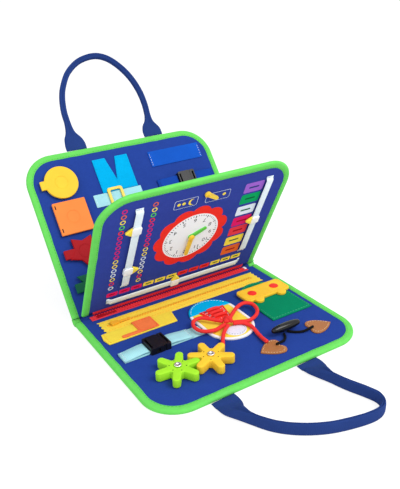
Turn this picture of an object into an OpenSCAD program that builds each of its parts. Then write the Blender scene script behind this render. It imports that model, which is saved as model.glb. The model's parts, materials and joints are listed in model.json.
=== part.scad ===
// Felt activity book: two stiff covers on one fold, a turning page on a zip,
// carrying handles and the activities that are sewn or riveted to the felt.
// Every panel is drawn flat: x along the fold, y away from it, z up from its inner face.

/* [Covers] */
// Width of a cover along the fold
cover_w = 300; // [296:1:340]
// Length of a cover from the fold to its free edge
cover_l = 236; // [234:1:270]
// Radius of the free corners of the covers and the page
corner_r = 44; // [34:1:46]
// Thickness of one felt layer of a cover
felt_t = 1.5; // [1:0.1:2.5]
// Thickness of the board inside a cover
board_t = 2; // [1.5:0.1:4]
// Width of the binding tape on a face
binding_w = 10.5; // [8:0.5:14]
// Thickness of the binding tape
tape_t = 0.8; // [0.5:0.1:1.2]
// How far the binding stands above the inner felt
binding_rise = 0.6; // [0.3:0.1:1]
// Distance from the fold line to the boards
panel_start = 3; // [2:0.5:6]
// Height of the fold axis above the inner felt
fold_gap = 2.4; // [2:0.1:5]
// Angle between the covers as the book stands open
cover_open = 128; // [100:1:150]

/* [Page] */
// Width of the page
page_w = 279; // [272:1:284]
// Length of the page from the fold to its free edge
page_l = 222; // [216:1:228]
// Thickness of one felt layer of the page
page_felt_t = 1.2; // [0.8:0.1:1.6]
// Thickness of the board inside the page
page_board_t = 1.5; // [1.2:0.1:2]
// How far the page binding stands above the felt
page_rise = 0.5; // [0.3:0.1:0.7]
// Distance from the fold to the page felt
page_start = 10; // [9:0.5:14]
// Distance from the fold to the lower end of the page binding
page_binding_start = 7; // [6:0.5:9]
// Angle from the front cover to the page
page_open = 62.7; // [50:0.1:75]

/* [Page zip] */
// Length of the zip that holds the page
page_zip_l = 256; // [200:1:260]
// Thickness of a zip tape
zip_tape_t = 0.8; // [0.5:0.1:1]
// Width of the lower zip tape on the front cover
page_zip_w = 11; // [8:0.5:14]
// Pitch of the chain teeth
chain_pitch = 4; // [3:0.5:6]
// Length of a zip slider
zip_slider_l = 11; // [8:0.5:14]

/* [Pouch] */
// Length of the pouch zip
pouch_zip_l = 252; // [220:1:256]
// Width of the pouch zip across both tapes
pouch_zip_w = 30; // [24:0.5:32]
// Distance from the fold to the middle of the pouch zip
pouch_zip_at = 35; // [33:0.5:36]
// Width of the pouch along the fold
pouch_w = 98; // [80:1:104]
// Length of the pouch below the zip
pouch_l = 26; // [18:0.5:27]
// Left edge of the pouch
pouch_x = -133; // [-136:1:-130]
// Thickness of the pouch and other felt shapes
shape_t = 2; // [1.5:0.1:2.5]
// Side of the patch on the pouch
patch_side = 28; // [20:1:30]

/* [Strap buckles] */
// Width of the buckle strap on the front cover
strap_w = 21; // [16:0.5:22]
// Thickness of a strap
strap_t = 1.4; // [1:0.1:1.8]
// Centre of the front buckle along the fold and away from it
front_buckle_at = [-86, 112]; // [-130:1:140]
// Centre of the back clasp along the fold and away from it
back_clasp_at = [88, 153.5]; // [-130:1:190]
// Length of a buckle socket
socket_l = 20; // [18:0.5:24]
// Height of a buckle
buckle_h = 9; // [8:0.5:10]
// Margin of the buckle beside the strap on each side
buckle_margin = 3.5; // [3:0.1:4.5]
// Wall of the buckle socket
buckle_wall = 1.8; // [1.4:0.1:2.2]
// Play between the plug and the socket
buckle_play = 0.35; // [0.3:0.05:0.5]
// Length of the front strap from the buckle to its sewn end
front_strap_l = 34; // [28:1:36]
// Length of the back strap from the buckle to its sewn end
back_strap_l = 34; // [24:1:36]

/* [Shoe] */
// Middle of the shoe along the fold
shoe_x = 14; // [10:1:16]
// Distance from the fold to the heel of the shoe
shoe_heel = 54; // [53:0.5:56]
// Width of the shoe
shoe_w = 66; // [56:1:68]
// Length of the shoe
shoe_l = 104; // [96:1:106]
// Length of the collar at the heel
collar_l = 26; // [20:1:30]
// Width of the white edge round the toe
shoe_edge = 4; // [3:0.5:6]
// Diameter of the lace
lace_d = 5; // [4:0.1:5.5]

/* [Garage and bus] */
// Middle of the garage pocket along the fold
garage_x = 101; // [98:1:103]
// Distance from the fold to the lower edge of the garage
garage_end = 148; // [146:1:156]
// Width of the garage
garage_w = 66; // [60:1:72]
// Length of the bus
bus_l = 74; // [66:1:78]
// Height of the bus without wheels
bus_h = 32; // [28:1:34]
// Thickness of the bus
bus_t = 4; // [3:0.5:6]
// Radius of a bus wheel
bus_wheel_r = 7; // [5:0.5:8]

/* [Toggle] */
// Length of the toggle
toggle_l = 44; // [36:1:48]
// Diameter of the toggle at its middle
toggle_d = 11; // [8:0.5:12]
// Centre of the toggle along the fold and away from it
toggle_at = [64, 178]; // [60:1:190]
// Size of a leather patch
leather_l = 30; // [24:1:32]

/* [Gears] */
// Radius to the tips of the gear petals
gear_tip_r = 28; // [26:0.5:29]
// Width of a gear petal at its tip
petal_w = 9.5; // [8:0.5:9.5]
// Radius of the gear hub
gear_root_r = 13; // [11:0.5:13]
// Depth to which the petals mesh
mesh_depth = 12.5; // [10:0.5:12.5]
// Thickness of a gear
gear_t = 11; // [8:0.5:13]
// Radius of the post on which a gear turns
post_r = 3.2; // [2.5:0.1:4.5]
// Centre of the green gear along the fold and away from it
green_gear_at = [-92, 175]; // [-95:1:180]

/* [Handles] */
// Width of a handle strap where it is sewn on
handle_end_w = 31; // [26:1:33]
// Thickness of a handle strap
handle_t = 2.4; // [2:0.1:3]
// Height of the folded front grip
front_grip_h = 15; // [10:0.5:18]
// Diameter of the folded back grip
back_grip_d = 8.5; // [7:0.5:11]

/* [Back cover shapes] */
// Middle of the column of snap shapes along the fold
snap_x = -103; // [-105:1:-101]
// Distances from the fold to the four snap shapes
snap_rows = [191, 139, 88, 40]; // [30:1:192]
// Size across a snap shape
snap_size = 48; // [44:1:49]
// Thickness of a snap shape
snap_t = 4; // [3:0.5:5]
// Length of the sewn tab of a snap shape
snap_tab_l = 6; // [4:0.5:7]
// Width of the sewn tab of a snap shape
snap_tab_w = 13; // [10:1:20]
// Radius of the snap stud below a shape
stud_r = 5; // [4:0.5:7]
// Width of the trousers
trousers_w = 56; // [50:1:60]
// Length of the trousers
trousers_l = 52; // [46:1:54]
// Middle of the trousers along the fold
trousers_x = -20; // [-24:1:-18]
// Distance from the fold to the waist of the trousers
trousers_at = 163; // [160:1:164]
// Length of the belt
belt_l = 76; // [70:1:82]
// Width of the belt
belt_w = 19; // [16:0.5:20]
// Width of the band across the top of the back cover
band_w = 25; // [20:0.5:26]
// Length of the band
band_l = 89; // [80:1:94]

/* [Clock] */
// Centre of the clock along the fold and away from it
clock_at = [2, 118]; // [0:1:120]
// Length of the minute hand
minute_l = 35; // [30:1:40]
// Length of the hour hand
hour_l = 24; // [20:1:30]
// Width of a clock hand
hand_w = 8; // [6:0.5:9]
// Thickness of a clock hand
hand_t = 1.6; // [1.2:0.1:2]
// Centre of the small pointer's pin
pointer_at = [8, 194]; // [0:1:195]
// Length of the small pointer
pointer_l = 22; // [18:1:23]

/* [Ribbons] */
// Width of a slider ribbon
ribbon_w = 10.5; // [8:0.5:11]
// Length of the two upright ribbons
side_ribbon_l = 148; // [140:1:150]
// Length of the lower ribbon
low_ribbon_l = 214; // [200:1:220]
// Left ribbon along the fold
left_ribbon_x = -85; // [-88:1:-82]
// Right ribbon along the fold
right_ribbon_x = 103; // [101:1:105]
// Distance from the fold to the lower end of the upright ribbons
side_ribbon_at = 50; // [46:1:52]
// Distance from the fold to the middle of the lower ribbon
low_ribbon_at = 26; // [24:0.5:30]
// Height of a slider above its ribbon
ribbon_slider_h = 4; // [3:0.5:5]

/* [Hidden] */
$fn = 72;
// Gap between a felt edge and the tape round it
edge_gap = 0.2;
// Gap between pieces that move past each other
run_gap = 0.3;
// Gap between a pin and its bore
pin_gap = 0.15;
// Distance that a cutting shape reaches past the piece it cuts
past = 1;
// Distance from the edge of a cover to its board
board_inset = 3;
cover_t = 2 * felt_t + board_t;
page_t = 2 * page_felt_t + page_board_t;
fold_y = cover_l / 2;
axis_h = cover_t + fold_gap;
fold_bend = 180 - cover_open;
page_lean = 180 - page_open;

// Zips
chain_drop = 0.6;
page_zip_in = 4;
slider_w = 6;
slider_h = 1.3;
pull_l = 17;
pull_w = 3.6;
pull_t = 1.1;
slider_start = 9;
stop_l = 5;
tooth_w = 1.6;
pouch_chain_w = 6;
pouch_chain_t = 1.2;
pouch_slider_w = 10;
pouch_slider_h = 3.2;
jag = 5;
jag_count = 4;
// Length of the chain left off at each end of the pouch zip
chain_margin = 10;
patch_t = 1.5;
patch_inset = 44;
strip_w = 6;
strip_l = 48;
strip_x = 20;
pouch_end = pouch_zip_at + pouch_zip_w / 2 + pouch_l;

// Buckles
buckle_w = strap_w + 2 * buckle_margin;
plug_l = 8;
prong_l = 13;
prong_w = 4;
guide_w = 7;
slot_w = 2.6;
socket_floor = 5;
window_l = 6;
strap_lift = 4;
strap_seam = 6;
bore_h = buckle_h - 2 * buckle_wall;
bore_w = buckle_w - 2 * buckle_wall;
prong_t = bore_h - 2 * buckle_play;

// Shoe and lace
upper_t = 2.5;
collar_t = 3.5;
eyestay_w = 38;
eyestay_l = 30;
eyestay_t = 1.6;
toe_cap_r = 15;
toe_cap_t = 1.2;
shoe_r = shoe_w / 2;
shoe_toe = shoe_heel + shoe_l;
collar_end = shoe_heel + collar_l;
eyestay_x = shoe_x + 1;
eyestay_at = collar_end + run_gap;
knot_r = 6;
knot_at = [12, 125];
lace_r = lace_d / 2;
lace_sides = 10;
bar_count = 3;
right_loop = [[17, 121.5, 8.5], [29, 112, 9], [43, 103, 9], [57, 99, 8], [65, 107, 7],
    [62, 121, 6], [52, 131, 6], [38, 136, 6], [26, 133, 7], [17, 128.5, 7]];
left_loop = [[7, 121, 8], [-3, 110, 9], [-13, 99, 9], [-24, 99, 8], [-30, 111, 7],
    [-26, 125, 7], [-12, 131, 7], [-2, 129, 7], [6, 127, 7]];
right_end = [[16, 131, 6.8], [26, 136, 6.8], [32, 145, 5.6], [32, 154, 5], [31, 165, 2.9], [29, 176, 3.6],
    [28, 186, 4.6]];
left_end = [[8, 131, 6.8], [1, 136, 6.8], [-6, 142, 6.2], [-12, 149, 5.5], [-17, 156, 4], [-20, 161, 3]];

// Garage, bus and toggle
garage_top = pouch_zip_at + pouch_zip_w / 2 + edge_gap;
garage_r = garage_w / 2;
bus_top = 65;
bus_r = 6;
bus_x = garage_x + 1;
bus_wheel_x = 19;
bus_window_r = 6.5;
bus_window_t = 0.8;
bus_rest = shape_t + run_gap;
cord_r = 1.6;
toggle_steps = 10;
// How full the toggle stays towards its ends; smaller is fuller
toggle_fullness = 0.6;
toggle_h = 2 * cord_r + 2 * run_gap + toggle_d / 2;
leather_r = 12;
leather_t = 1.8;
leather_tip = 17;
leather_neck = 9;
right_patch_at = [109, 191];
left_patch_at = [27, 197];
right_cord = [[98, 191, 3.6], [90, 192, 3.6], [83, 191, 2.2], [76, 188, 1.8], [70, 183, 1.8],
    [66, 178, 1.8]];
left_cord = [[35, 196, 3.6], [46, 195, 3.6], [51, 192, 2.2], [56, 187, 1.8], [59, 181, 1.8]];

// Gears
gear_line = 4;
petal_root_w = petal_w + 1;
petals = 6;
gear_floor = 0.6;
washer_r = 8;
head_r = 5.5;
head_h = 1.8;
dimple_r = 1;
dimple_at = 10;
gear_rest = gear_floor + run_gap;
gear_top = gear_rest + gear_t;
gear_centres = 2 * gear_tip_r - mesh_depth;
yellow_gear_at = green_gear_at + gear_centres * [cos(gear_line), sin(gear_line)];

// Handles: along the fold, beyond the cover's edge, then width and height of the strap there
handle_seat = 2 * run_gap;
front_route = [[-72, handle_seat, 1, 0], [-72, 12, 1, 0], [-74, 24, 0.8, 0.35], [-73, 36, 0.4, 0.8],
    [-68, 54, 0, 1], [-56, 74, 0, 1], [-38, 91, 0, 1], [-14, 105, 0, 1], [14, 114, 0, 1],
    [40, 118, 0, 1], [56, 113, 0, 1], [62, 100, 0, 1], [58, 84, 0, 1], [51, 66, 0, 1],
    [46, 48, 0, 1], [45, 34, 0.4, 0.8], [46, 22, 0.8, 0.35], [48, 12, 1, 0], [48, handle_seat, 1, 0]];
back_route = [[-62, handle_seat, 1, 0], [-62, 10, 1, 0], [-63, 20, 0.7, 0.5], [-63, 30, 0.2, 1],
    [-62, 46, 0, 1], [-61, 64, 0, 1], [-56, 86, 0, 1], [-48, 104, 0, 1], [-34, 124, 0, 1],
    [-12, 140, 0, 1], [14, 146, 0, 1], [34, 140, 0, 1], [50, 124, 0, 1], [62, 102, 0, 1],
    [68, 78, 0, 1], [69, 56, 0, 1], [67, 38, 0, 1], [65, 26, 0.2, 1], [64, 18, 0.7, 0.5],
    [64, 10, 1, 0], [64, handle_seat, 1, 0]];
route_steps = 2;
// Thickness of a handle pressed in its seam as a share of its thickness
seam_press = 0.33;
front_grip_w = 2 * handle_t;

// Snap shapes, trousers and band
stud_h = 2.2;
snap_rest = stud_h + run_gap;
ring_r = 9;
ring_w = 1.2;
ring_depth = 0.5;
star_in = 0.6;
// Height of the triangle above and below its middle as shares of the snap size
triangle_base = 0.33;
triangle_tip = 0.4;
// Radius to a star point as a share of the snap size
star_reach = 0.52;
leg_w = 20;
crotch_l = 16;
belt_t = 1.2;
belt_x = trousers_x - 6;
belt_buckle_x = belt_x - 4;
buckle_frame = [24, 30];
frame_rail = 4.2;
frame_t = 2.2;
frame_rest = shape_t + run_gap;
band_t = 1.2;
band_x = 86;
band_at = 198.5;

// Page fittings
pin_r = 1.8;
pin_head_r = 4.4;
pin_head_h = 1.2;
hand_rest = run_gap;
hand_root = 0.85 * hand_w;
hour_angle = 27;
minute_angle = -92;
pointer_angle = -35;
ribbon_t = 0.8;
ribbon_slider_w = 13;
ribbon_slider_nose = 9;
slider_rest = ribbon_t + run_gap;
upper_slider_at = 162;
lower_slider_at = 85;
right_slider_at = 119;
low_slider_x = -4;
hour_h = hand_rest;
minute_h = hour_h + hand_t + run_gap;
clock_pin_h = minute_h + hand_t + run_gap;
pointer_pin_h = hand_rest + hand_t + run_gap;

// Places a piece drawn on a flat panel onto the front cover
module on_front() {
    translate([0, fold_y, cover_t]) mirror([0, 1, 0]) children();
}

// Places a piece drawn on a flat panel onto the back cover
module on_back() {
    translate([0, fold_y, axis_h]) rotate([fold_bend, 0, 0]) translate([0, 0, -fold_gap]) children();
}

// Places a piece drawn on a flat panel onto the face of the page
module on_page() {
    translate([0, fold_y, axis_h]) rotate([page_lean, 0, 0]) translate([0, 0, page_t / 2]) children();
}

// Outline with square corners at the fold and round ones at the free edge
module panel_2d(w, start, end, r) {
    translate([-w / 2, start]) square([w, end - start - r]);
    translate([-w / 2 + r, start]) square([w - 2 * r, end - start]);
    for (side = [-1, 1]) translate([side * (w / 2 - r), end - r]) circle(r);
}

// Three-sided frame along the edge of a panel
module frame_2d(w, start, end, r, frame_w) {
    difference() {
        panel_2d(w, start, end, r);
        panel_2d(w - 2 * frame_w, start - past, end - frame_w, r - frame_w);
    }
}

// Felt layer, thinner under the lip of the binding
module felt_layer(w, start, end, r, t, lip_z, lip_w) {
    inset = tape_t + edge_gap;
    difference() {
        linear_extrude(t) panel_2d(w - 2 * inset, start, end - inset, r - inset);
        translate([0, 0, lip_z]) linear_extrude(t + past)
            frame_2d(w + 2 * past, start - past, end + past, r + past, lip_w + past + edge_gap);
    }
}

// Folded tape round three edges of a panel, open inside for the felt and board
module binding_tape(w, start, end, r, low, high) {
    difference() {
        translate([0, 0, low]) linear_extrude(high - low) frame_2d(w, start, end, r, binding_w);
        translate([0, 0, low + tape_t]) linear_extrude(high - low - 2 * tape_t)
            panel_2d(w - 2 * tape_t, start - past, end - tape_t, r - tape_t);
    }
}

module cover_felts() {
    translate([0, 0, -cover_t + felt_t]) mirror([0, 0, 1])
        felt_layer(cover_w, panel_start, cover_l, corner_r, felt_t, felt_t - tape_t, binding_w);
    translate([0, 0, -felt_t])
        felt_layer(cover_w, panel_start, cover_l, corner_r, felt_t,
            felt_t + binding_rise - tape_t, binding_w);
}

module cover_board() {
    translate([0, 0, -felt_t - board_t]) linear_extrude(board_t)
        panel_2d(cover_w - 2 * board_inset, panel_start, cover_l - board_inset, corner_r - board_inset);
}

module cover_binding() {
    binding_tape(cover_w, panel_start, cover_l, corner_r, -cover_t, binding_rise);
}

module front_felts() color("royalblue") on_front() cover_felts();
module front_stiffener() color("tan") on_front() cover_board();
module front_binding() color("limegreen") on_front() cover_binding();
module back_felts() color("royalblue") on_back() cover_felts();
module back_stiffener() color("tan") on_back() cover_board();
module back_binding() color("limegreen") on_back() cover_binding();

// Runs a section, drawn as distance from the axis and place along it, round the fold
module round_fold() {
    translate([0, fold_y, axis_h]) rotate([90, 0, 90]) rotate([0, 0, -90]) {
        rotate_extrude(angle = fold_bend) children();
        rotate([90, 0, 0]) linear_extrude(panel_start) children();
        rotate([0, 0, fold_bend]) translate([0, panel_start, 0]) rotate([90, 0, 0])
            linear_extrude(panel_start) children();
    }
}

module cover_fold() {
    end = cover_w / 2 - tape_t - edge_gap;
    shoulder = cover_w / 2 - binding_w - edge_gap;
    color("royalblue") round_fold() {
        translate([axis_h - felt_t, -end]) square([felt_t - tape_t, 2 * end]);
        translate([axis_h - felt_t, -shoulder]) square([felt_t, 2 * shoulder]);
    }
}

module fold_binding() {
    inner = cover_w / 2 - binding_w;
    color("limegreen") for (side = [0, 1]) mirror([side, 0, 0]) round_fold() difference() {
        translate([axis_h - felt_t - tape_t, inner]) square([felt_t + tape_t, binding_w]);
        translate([axis_h - felt_t, inner - past]) square([felt_t - tape_t, binding_w + past - tape_t]);
    }
}

// Flat strip with square teeth along its lower edge
module rack_2d(l, w, pitch) {
    count = floor((l - tooth_w) / pitch);
    teeth = [for (i = [0 : count]) let (x = i * pitch - count * pitch / 2)
        each [[x - tooth_w / 2, 0], [x - tooth_w / 2, -tooth_w], [x + tooth_w / 2, -tooth_w],
            [x + tooth_w / 2, 0]]];
    polygon(concat(teeth, [[l / 2, 0], [l / 2, w], [-l / 2, w], [-l / 2, 0]]));
}

module page_zip_lower() {
    color("crimson") on_front() {
        translate([-page_zip_l / 2, 0, 0]) cube([page_zip_l, page_zip_w, zip_tape_t]);
        translate([0, tooth_w, zip_tape_t]) linear_extrude(fold_gap - chain_drop - zip_tape_t)
            rack_2d(page_zip_l - 2 * stop_l, tooth_w, chain_pitch);
    }
}

module page_zip_upper() {
    color("crimson") on_page() translate([0, chain_drop + tooth_w, -(page_t + zip_tape_t) / 2])
        linear_extrude(zip_tape_t)
            rack_2d(page_zip_l - 2 * stop_l, page_start + page_zip_in - chain_drop - tooth_w, chain_pitch);
}

// Tapered slider plate with a pull that lies along the zip
module zip_slider(w, t) {
    linear_extrude(t) polygon([[0, -w / 2], [zip_slider_l, -w / 3], [zip_slider_l, w / 3], [0, w / 2]]);
    difference() {
        translate([zip_slider_l - past, -pull_w / 2, 0]) cube([pull_l + past, pull_w, pull_t]);
        translate([zip_slider_l + pull_l - pull_w, 0, -past])
            cylinder(r = pull_w / 4, h = pull_t + 2 * past);
    }
}

module page_zip_slider() {
    color("firebrick") on_front()
        translate([slider_start - page_zip_l / 2, 2 * tooth_w + run_gap + slider_w / 2,
            zip_tape_t + run_gap / 2]) zip_slider(slider_w, slider_h);
}

// Zip tape whose two ends are cut to a zigzag
module jagged_2d(l, w) {
    last = 2 * jag_count;
    right = [for (i = [0 : last]) [l / 2 - (i % 2) * jag / 2, -w / 2 + i * w / last]];
    left = [for (i = [last : -1 : 0]) [-l / 2 + (i % 2) * jag / 2, -w / 2 + i * w / last]];
    polygon(concat(right, left));
}

module pouch_zip() {
    color("gold") on_front() translate([0, pouch_zip_at, 0]) {
        linear_extrude(zip_tape_t) jagged_2d(pouch_zip_l, pouch_zip_w);
        for (side = [0, 1]) mirror([0, side, 0])
            translate([side * chain_pitch / 2, tooth_w / 2, zip_tape_t]) linear_extrude(pouch_chain_t)
                rack_2d(pouch_zip_l - 2 * chain_margin, (pouch_chain_w - tooth_w) / 2, chain_pitch);
    }
}

module pouch_zip_slider() {
    rest = zip_tape_t + pouch_chain_t + run_gap;
    color("orange") on_front()
        translate([slider_start + jag - pouch_zip_l / 2, pouch_zip_at, rest])
            zip_slider(pouch_slider_w, pouch_slider_h - rest + zip_tape_t);
}

module pouch() {
    top = pouch_zip_at + pouch_zip_w / 2 + edge_gap;
    right = pouch_x + pouch_w;
    color("gold") on_front() linear_extrude(shape_t) polygon([[pouch_x, top], [right + jag, top],
        [right, pouch_end], [pouch_x, pouch_end], [pouch_x - jag / 2, pouch_end - pouch_l / 2]]);
}

module pouch_patch() {
    x = pouch_x + patch_inset;
    color("darkorange") on_front() translate([0, pouch_end, shape_t]) linear_extrude(patch_t) {
        translate([x, -patch_side - past]) square([patch_side, patch_side]);
        translate([pouch_x + strip_x, -strip_w - past]) square([strip_l, strip_w]);
    }
}

// Folded webbing from a buckle to its sewn end, towards +x
module strap_loop(l) {
    near = edge_gap;
    far = l - strap_seam;
    translate([0, strap_w / 2, 0]) rotate([90, 0, 0]) linear_extrude(strap_w)
        polygon([[near, 0], [l, 0], [l, 2 * strap_t], [near, strap_lift + strap_t], [near, strap_lift],
            [far, strap_t + edge_gap], [far, strap_t], [near, strap_t]]);
}

module block(l, w, h, r) {
    translate([r, -w / 2, 0]) cube([l - 2 * r, w, h]);
    translate([0, -w / 2 + r, 0]) cube([l, w - 2 * r, h]);
    for (x = [r, l - r]) for (y = [r - w / 2, w / 2 - r]) translate([x, y, 0]) cylinder(r = r, h = h);
}

// Socket of a side-release buckle: the plug leaves towards +x from x = 0
module side_socket() {
    difference() {
        translate([-socket_l, 0, 0]) block(socket_l, buckle_w, buckle_h, buckle_wall);
        translate([socket_floor - socket_l, -bore_w / 2, buckle_wall]) cube([socket_l, bore_w, bore_h]);
        translate([-socket_l / 2 - window_l / 2, -buckle_w, buckle_wall])
            cube([window_l, 2 * buckle_w, bore_h]);
        translate([buckle_wall - socket_l, -strap_w / 2, -past])
            cube([slot_w, strap_w, buckle_h + 2 * past]);
    }
}

// Plug with a guide tongue between two spring prongs
module side_plug() {
    z = buckle_wall + buckle_play;
    prong_y = bore_w / 2 - buckle_play - prong_w / 2;
    difference() {
        translate([run_gap, 0, 0]) block(plug_l - run_gap, buckle_w, buckle_h, buckle_wall);
        translate([plug_l - buckle_wall - slot_w, -strap_w / 2, -past])
            cube([slot_w, strap_w, buckle_h + 2 * past]);
    }
    for (y = [-prong_y, prong_y]) {
        translate([-prong_l, y - prong_w / 2, z]) cube([prong_l + buckle_wall, prong_w, prong_t]);
        translate([-prong_l, y, z]) cylinder(r = prong_w / 2, h = prong_t);
    }
    translate([-prong_l / 2, -guide_w / 2, z]) cube([prong_l / 2 + buckle_wall, guide_w, prong_t]);
}

module buckle_place(at) {
    translate([at[0] + (socket_l - plug_l) / 2, at[1], 0]) children();
}

module both_straps(l) {
    translate([plug_l, 0, 0]) strap_loop(l);
    translate([-socket_l, 0, 0]) mirror([1, 0, 0]) strap_loop(l);
}

module buckle_straps() color("paleturquoise") on_front() buckle_place(front_buckle_at)
    both_straps(front_strap_l);
module buckle_socket() color("dimgray") on_front() buckle_place(front_buckle_at) side_socket();
module buckle_plug() color("dimgray") on_front() buckle_place(front_buckle_at) side_plug();
module clasp_straps() color("dodgerblue") on_back() buckle_place(back_clasp_at) both_straps(back_strap_l);
module clasp_socket() color("dimgray") on_back() buckle_place(back_clasp_at) side_socket();
module clasp_plug() color("dimgray") on_back() buckle_place(back_clasp_at) side_plug();

// Outline of the shoe's sole, drawn in by a margin
module shoe_2d(margin) {
    r = shoe_r - margin;
    translate([shoe_x, shoe_heel + shoe_r]) circle(r);
    translate([shoe_x, shoe_toe - shoe_r]) circle(r);
    translate([shoe_x - r, shoe_heel + shoe_r]) square([2 * r, shoe_l - 2 * shoe_r]);
}

module shoe_slice_2d(margin, start, end) {
    intersection() {
        shoe_2d(margin);
        translate([shoe_x - shoe_w, start]) square([2 * shoe_w, end - start]);
    }
}

module shoe_upper() {
    color("gold") on_front() linear_extrude(upper_t)
        shoe_slice_2d(shoe_edge + edge_gap, collar_end + edge_gap, shoe_toe);
}

module shoe_collar() color("deepskyblue") on_front() linear_extrude(collar_t)
    shoe_slice_2d(0, shoe_heel - past, collar_end);

module shoe_trim() {
    color("whitesmoke") on_front() {
        linear_extrude(upper_t) difference() {
            shoe_slice_2d(0, collar_end + edge_gap, shoe_toe + past);
            shoe_2d(shoe_edge);
        }
        translate([shoe_x, shoe_toe - shoe_edge - toe_cap_r - past, upper_t]) intersection() {
            cylinder(r = toe_cap_r, h = toe_cap_t);
            translate([-toe_cap_r, -toe_cap_r / 2, 0]) cube([2 * toe_cap_r, 2 * toe_cap_r, toe_cap_t]);
        }
    }
}

module shoe_eyestay() {
    color("crimson") on_front() translate([eyestay_x, eyestay_at, upper_t])
        linear_extrude(eyestay_t) polygon([[-eyestay_w / 2, 0], [eyestay_w / 2, 0],
            [eyestay_w / 3, eyestay_l], [-eyestay_w / 3, eyestay_l]]);
}

module lace_knot() {
    rest = upper_t + eyestay_t;
    pitch = (eyestay_l - lace_d) / bar_count;
    color("red") on_front() {
        for (i = [0 : bar_count - 1])
            translate([eyestay_x - eyestay_w / 4, eyestay_at + lace_d + i * pitch, rest + lace_r])
                rotate([0, 90, 0]) cylinder(r = lace_r, h = eyestay_w / 2);
        translate([knot_at[0], knot_at[1], rest + knot_r]) sphere(knot_r);
    }
}

// Point on a smooth curve through a route's points
function curve_at(p, i, t) = let (a = p[max(i - 1, 0)], b = p[i], c = p[i + 1],
    d = p[min(i + 2, len(p) - 1)])
    (2 * b + (c - a) * t + (2 * a - 5 * b + 4 * c - d) * t * t + (3 * b - a - 3 * c + d) * t * t * t) / 2;
function smooth(p, steps) = concat(
    [for (i = [0 : len(p) - 2]) for (s = [0 : steps - 1]) curve_at(p, i, s / steps)], [p[len(p) - 1]]);
function unit(v) = v / norm(v);
function heading(p, i) = unit(p[min(i + 1, len(p) - 1)] - p[max(i - 1, 0)]);
function sideways(t) = unit(cross(t, [0, 0, 1]));

// Closed solid through rings of equally many points
module skin(rings) {
    n = len(rings[0]);
    last = len(rings) - 1;
    walls = [for (i = [0 : last - 1]) for (j = [0 : n - 1]) let (k = (j + 1) % n)
        each [[i * n + j, i * n + k, (i + 1) * n + j], [i * n + k, (i + 1) * n + k, (i + 1) * n + j]]];
    caps = [[for (j = [n - 1 : -1 : 0]) j], [for (j = [0 : n - 1]) last * n + j]];
    polyhedron([for (r = rings) each r], concat(walls, caps), convexity = 6);
}

// Round cord along a route
module cord(route, r, sides) {
    p = smooth(route, route_steps);
    skin([for (i = [0 : len(p) - 1]) let (t = heading(p, i), s = sideways(t), u = cross(s, t))
        [for (j = [0 : sides - 1]) p[i] + r * (cos(j * 360 / sides) * s + sin(j * 360 / sides) * u)]]);
}

module lace_loops() {
    color("red") on_front() {
        cord(right_loop, lace_r, lace_sides);
        cord(left_loop, lace_r, lace_sides);
    }
}

module lace_ends() {
    color("red") on_front() {
        cord(right_end, lace_r, lace_sides);
        cord(left_end, lace_r, lace_sides);
    }
}

module garage_pocket() {
    color("seagreen") on_front() linear_extrude(shape_t) {
        translate([garage_x, garage_top + garage_r]) circle(garage_r);
        translate([garage_x - garage_r, garage_top + garage_r])
            square([garage_w, garage_end - garage_top - garage_r]);
    }
}

module bus_body() {
    color("gold") on_front() translate([bus_x, bus_top, bus_rest]) difference() {
        linear_extrude(bus_t) {
            translate([-bus_l / 2 + bus_r, 0]) square([bus_l - 2 * bus_r, bus_h]);
            translate([-bus_l / 2, bus_r]) square([bus_l, bus_h - 2 * bus_r]);
            for (x = [-1, 1]) for (y = [bus_r, bus_h - bus_r])
                translate([x * (bus_l / 2 - bus_r), y]) circle(bus_r);
            for (x = [-1, 1]) translate([x * bus_wheel_x, bus_h + past]) circle(bus_wheel_r);
        }
        for (x = [-1, 1]) translate([x * bus_wheel_x, bus_h / 2, bus_t - bus_window_t / 2])
            cylinder(r = bus_window_r + edge_gap, h = bus_t);
    }
}

module bus_windows() {
    color("red") on_front() for (x = [-1, 1])
        translate([bus_x + x * bus_wheel_x, bus_top + bus_h / 2, bus_rest + bus_t - bus_window_t / 2])
            cylinder(r = bus_window_r, h = bus_window_t);
}

module leather_drop() {
    linear_extrude(leather_t) {
        circle(leather_r);
        polygon([[-leather_tip, 0], [0, -leather_neck], [0, leather_neck]]);
        translate([leather_l - 2 * leather_r, 0]) circle(leather_r - past);
    }
}

module toggle_patches() {
    color("peru") on_front() {
        translate(right_patch_at) leather_drop();
        translate(left_patch_at) mirror([1, 0, 0]) leather_drop();
    }
}

module toggle_cords() {
    color("black") on_front() {
        cord(right_cord, cord_r, lace_sides);
        cord(left_cord, cord_r, lace_sides);
    }
}

// Horn toggle: round in section, drawn in at both ends
module toggle() {
    outline = [for (i = [0 : toggle_steps]) let (a = 180 * i / toggle_steps)
        [toggle_d / 2 * pow(sin(a), toggle_fullness), -toggle_l / 2 * cos(a)]];
    color("black") on_front() translate([toggle_at[0], toggle_at[1], toggle_h])
        rotate([0, 90, 0]) rotate_extrude() polygon(outline);
}

module petal_2d() {
    r = petal_w / 2;
    translate([gear_tip_r - r, 0]) circle(r);
    polygon([[0, -petal_root_w / 2], [gear_tip_r - r, -r], [gear_tip_r - r, r], [0, petal_root_w / 2]]);
}

module petal_gear(at, turn) {
    on_front() translate([at[0], at[1], gear_rest]) rotate(gear_line + turn) difference() {
        linear_extrude(gear_t) {
            circle(gear_root_r);
            for (i = [0 : petals - 1]) rotate(i * 360 / petals) petal_2d();
        }
        translate([0, 0, -past]) cylinder(r = post_r + pin_gap, h = gear_t + 2 * past);
        for (i = [0 : petals - 1]) rotate((i + 0.5) * 360 / petals)
            translate([dimple_at, 0, gear_t - dimple_r]) cylinder(r = dimple_r, h = gear_t);
    }
}

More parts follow.
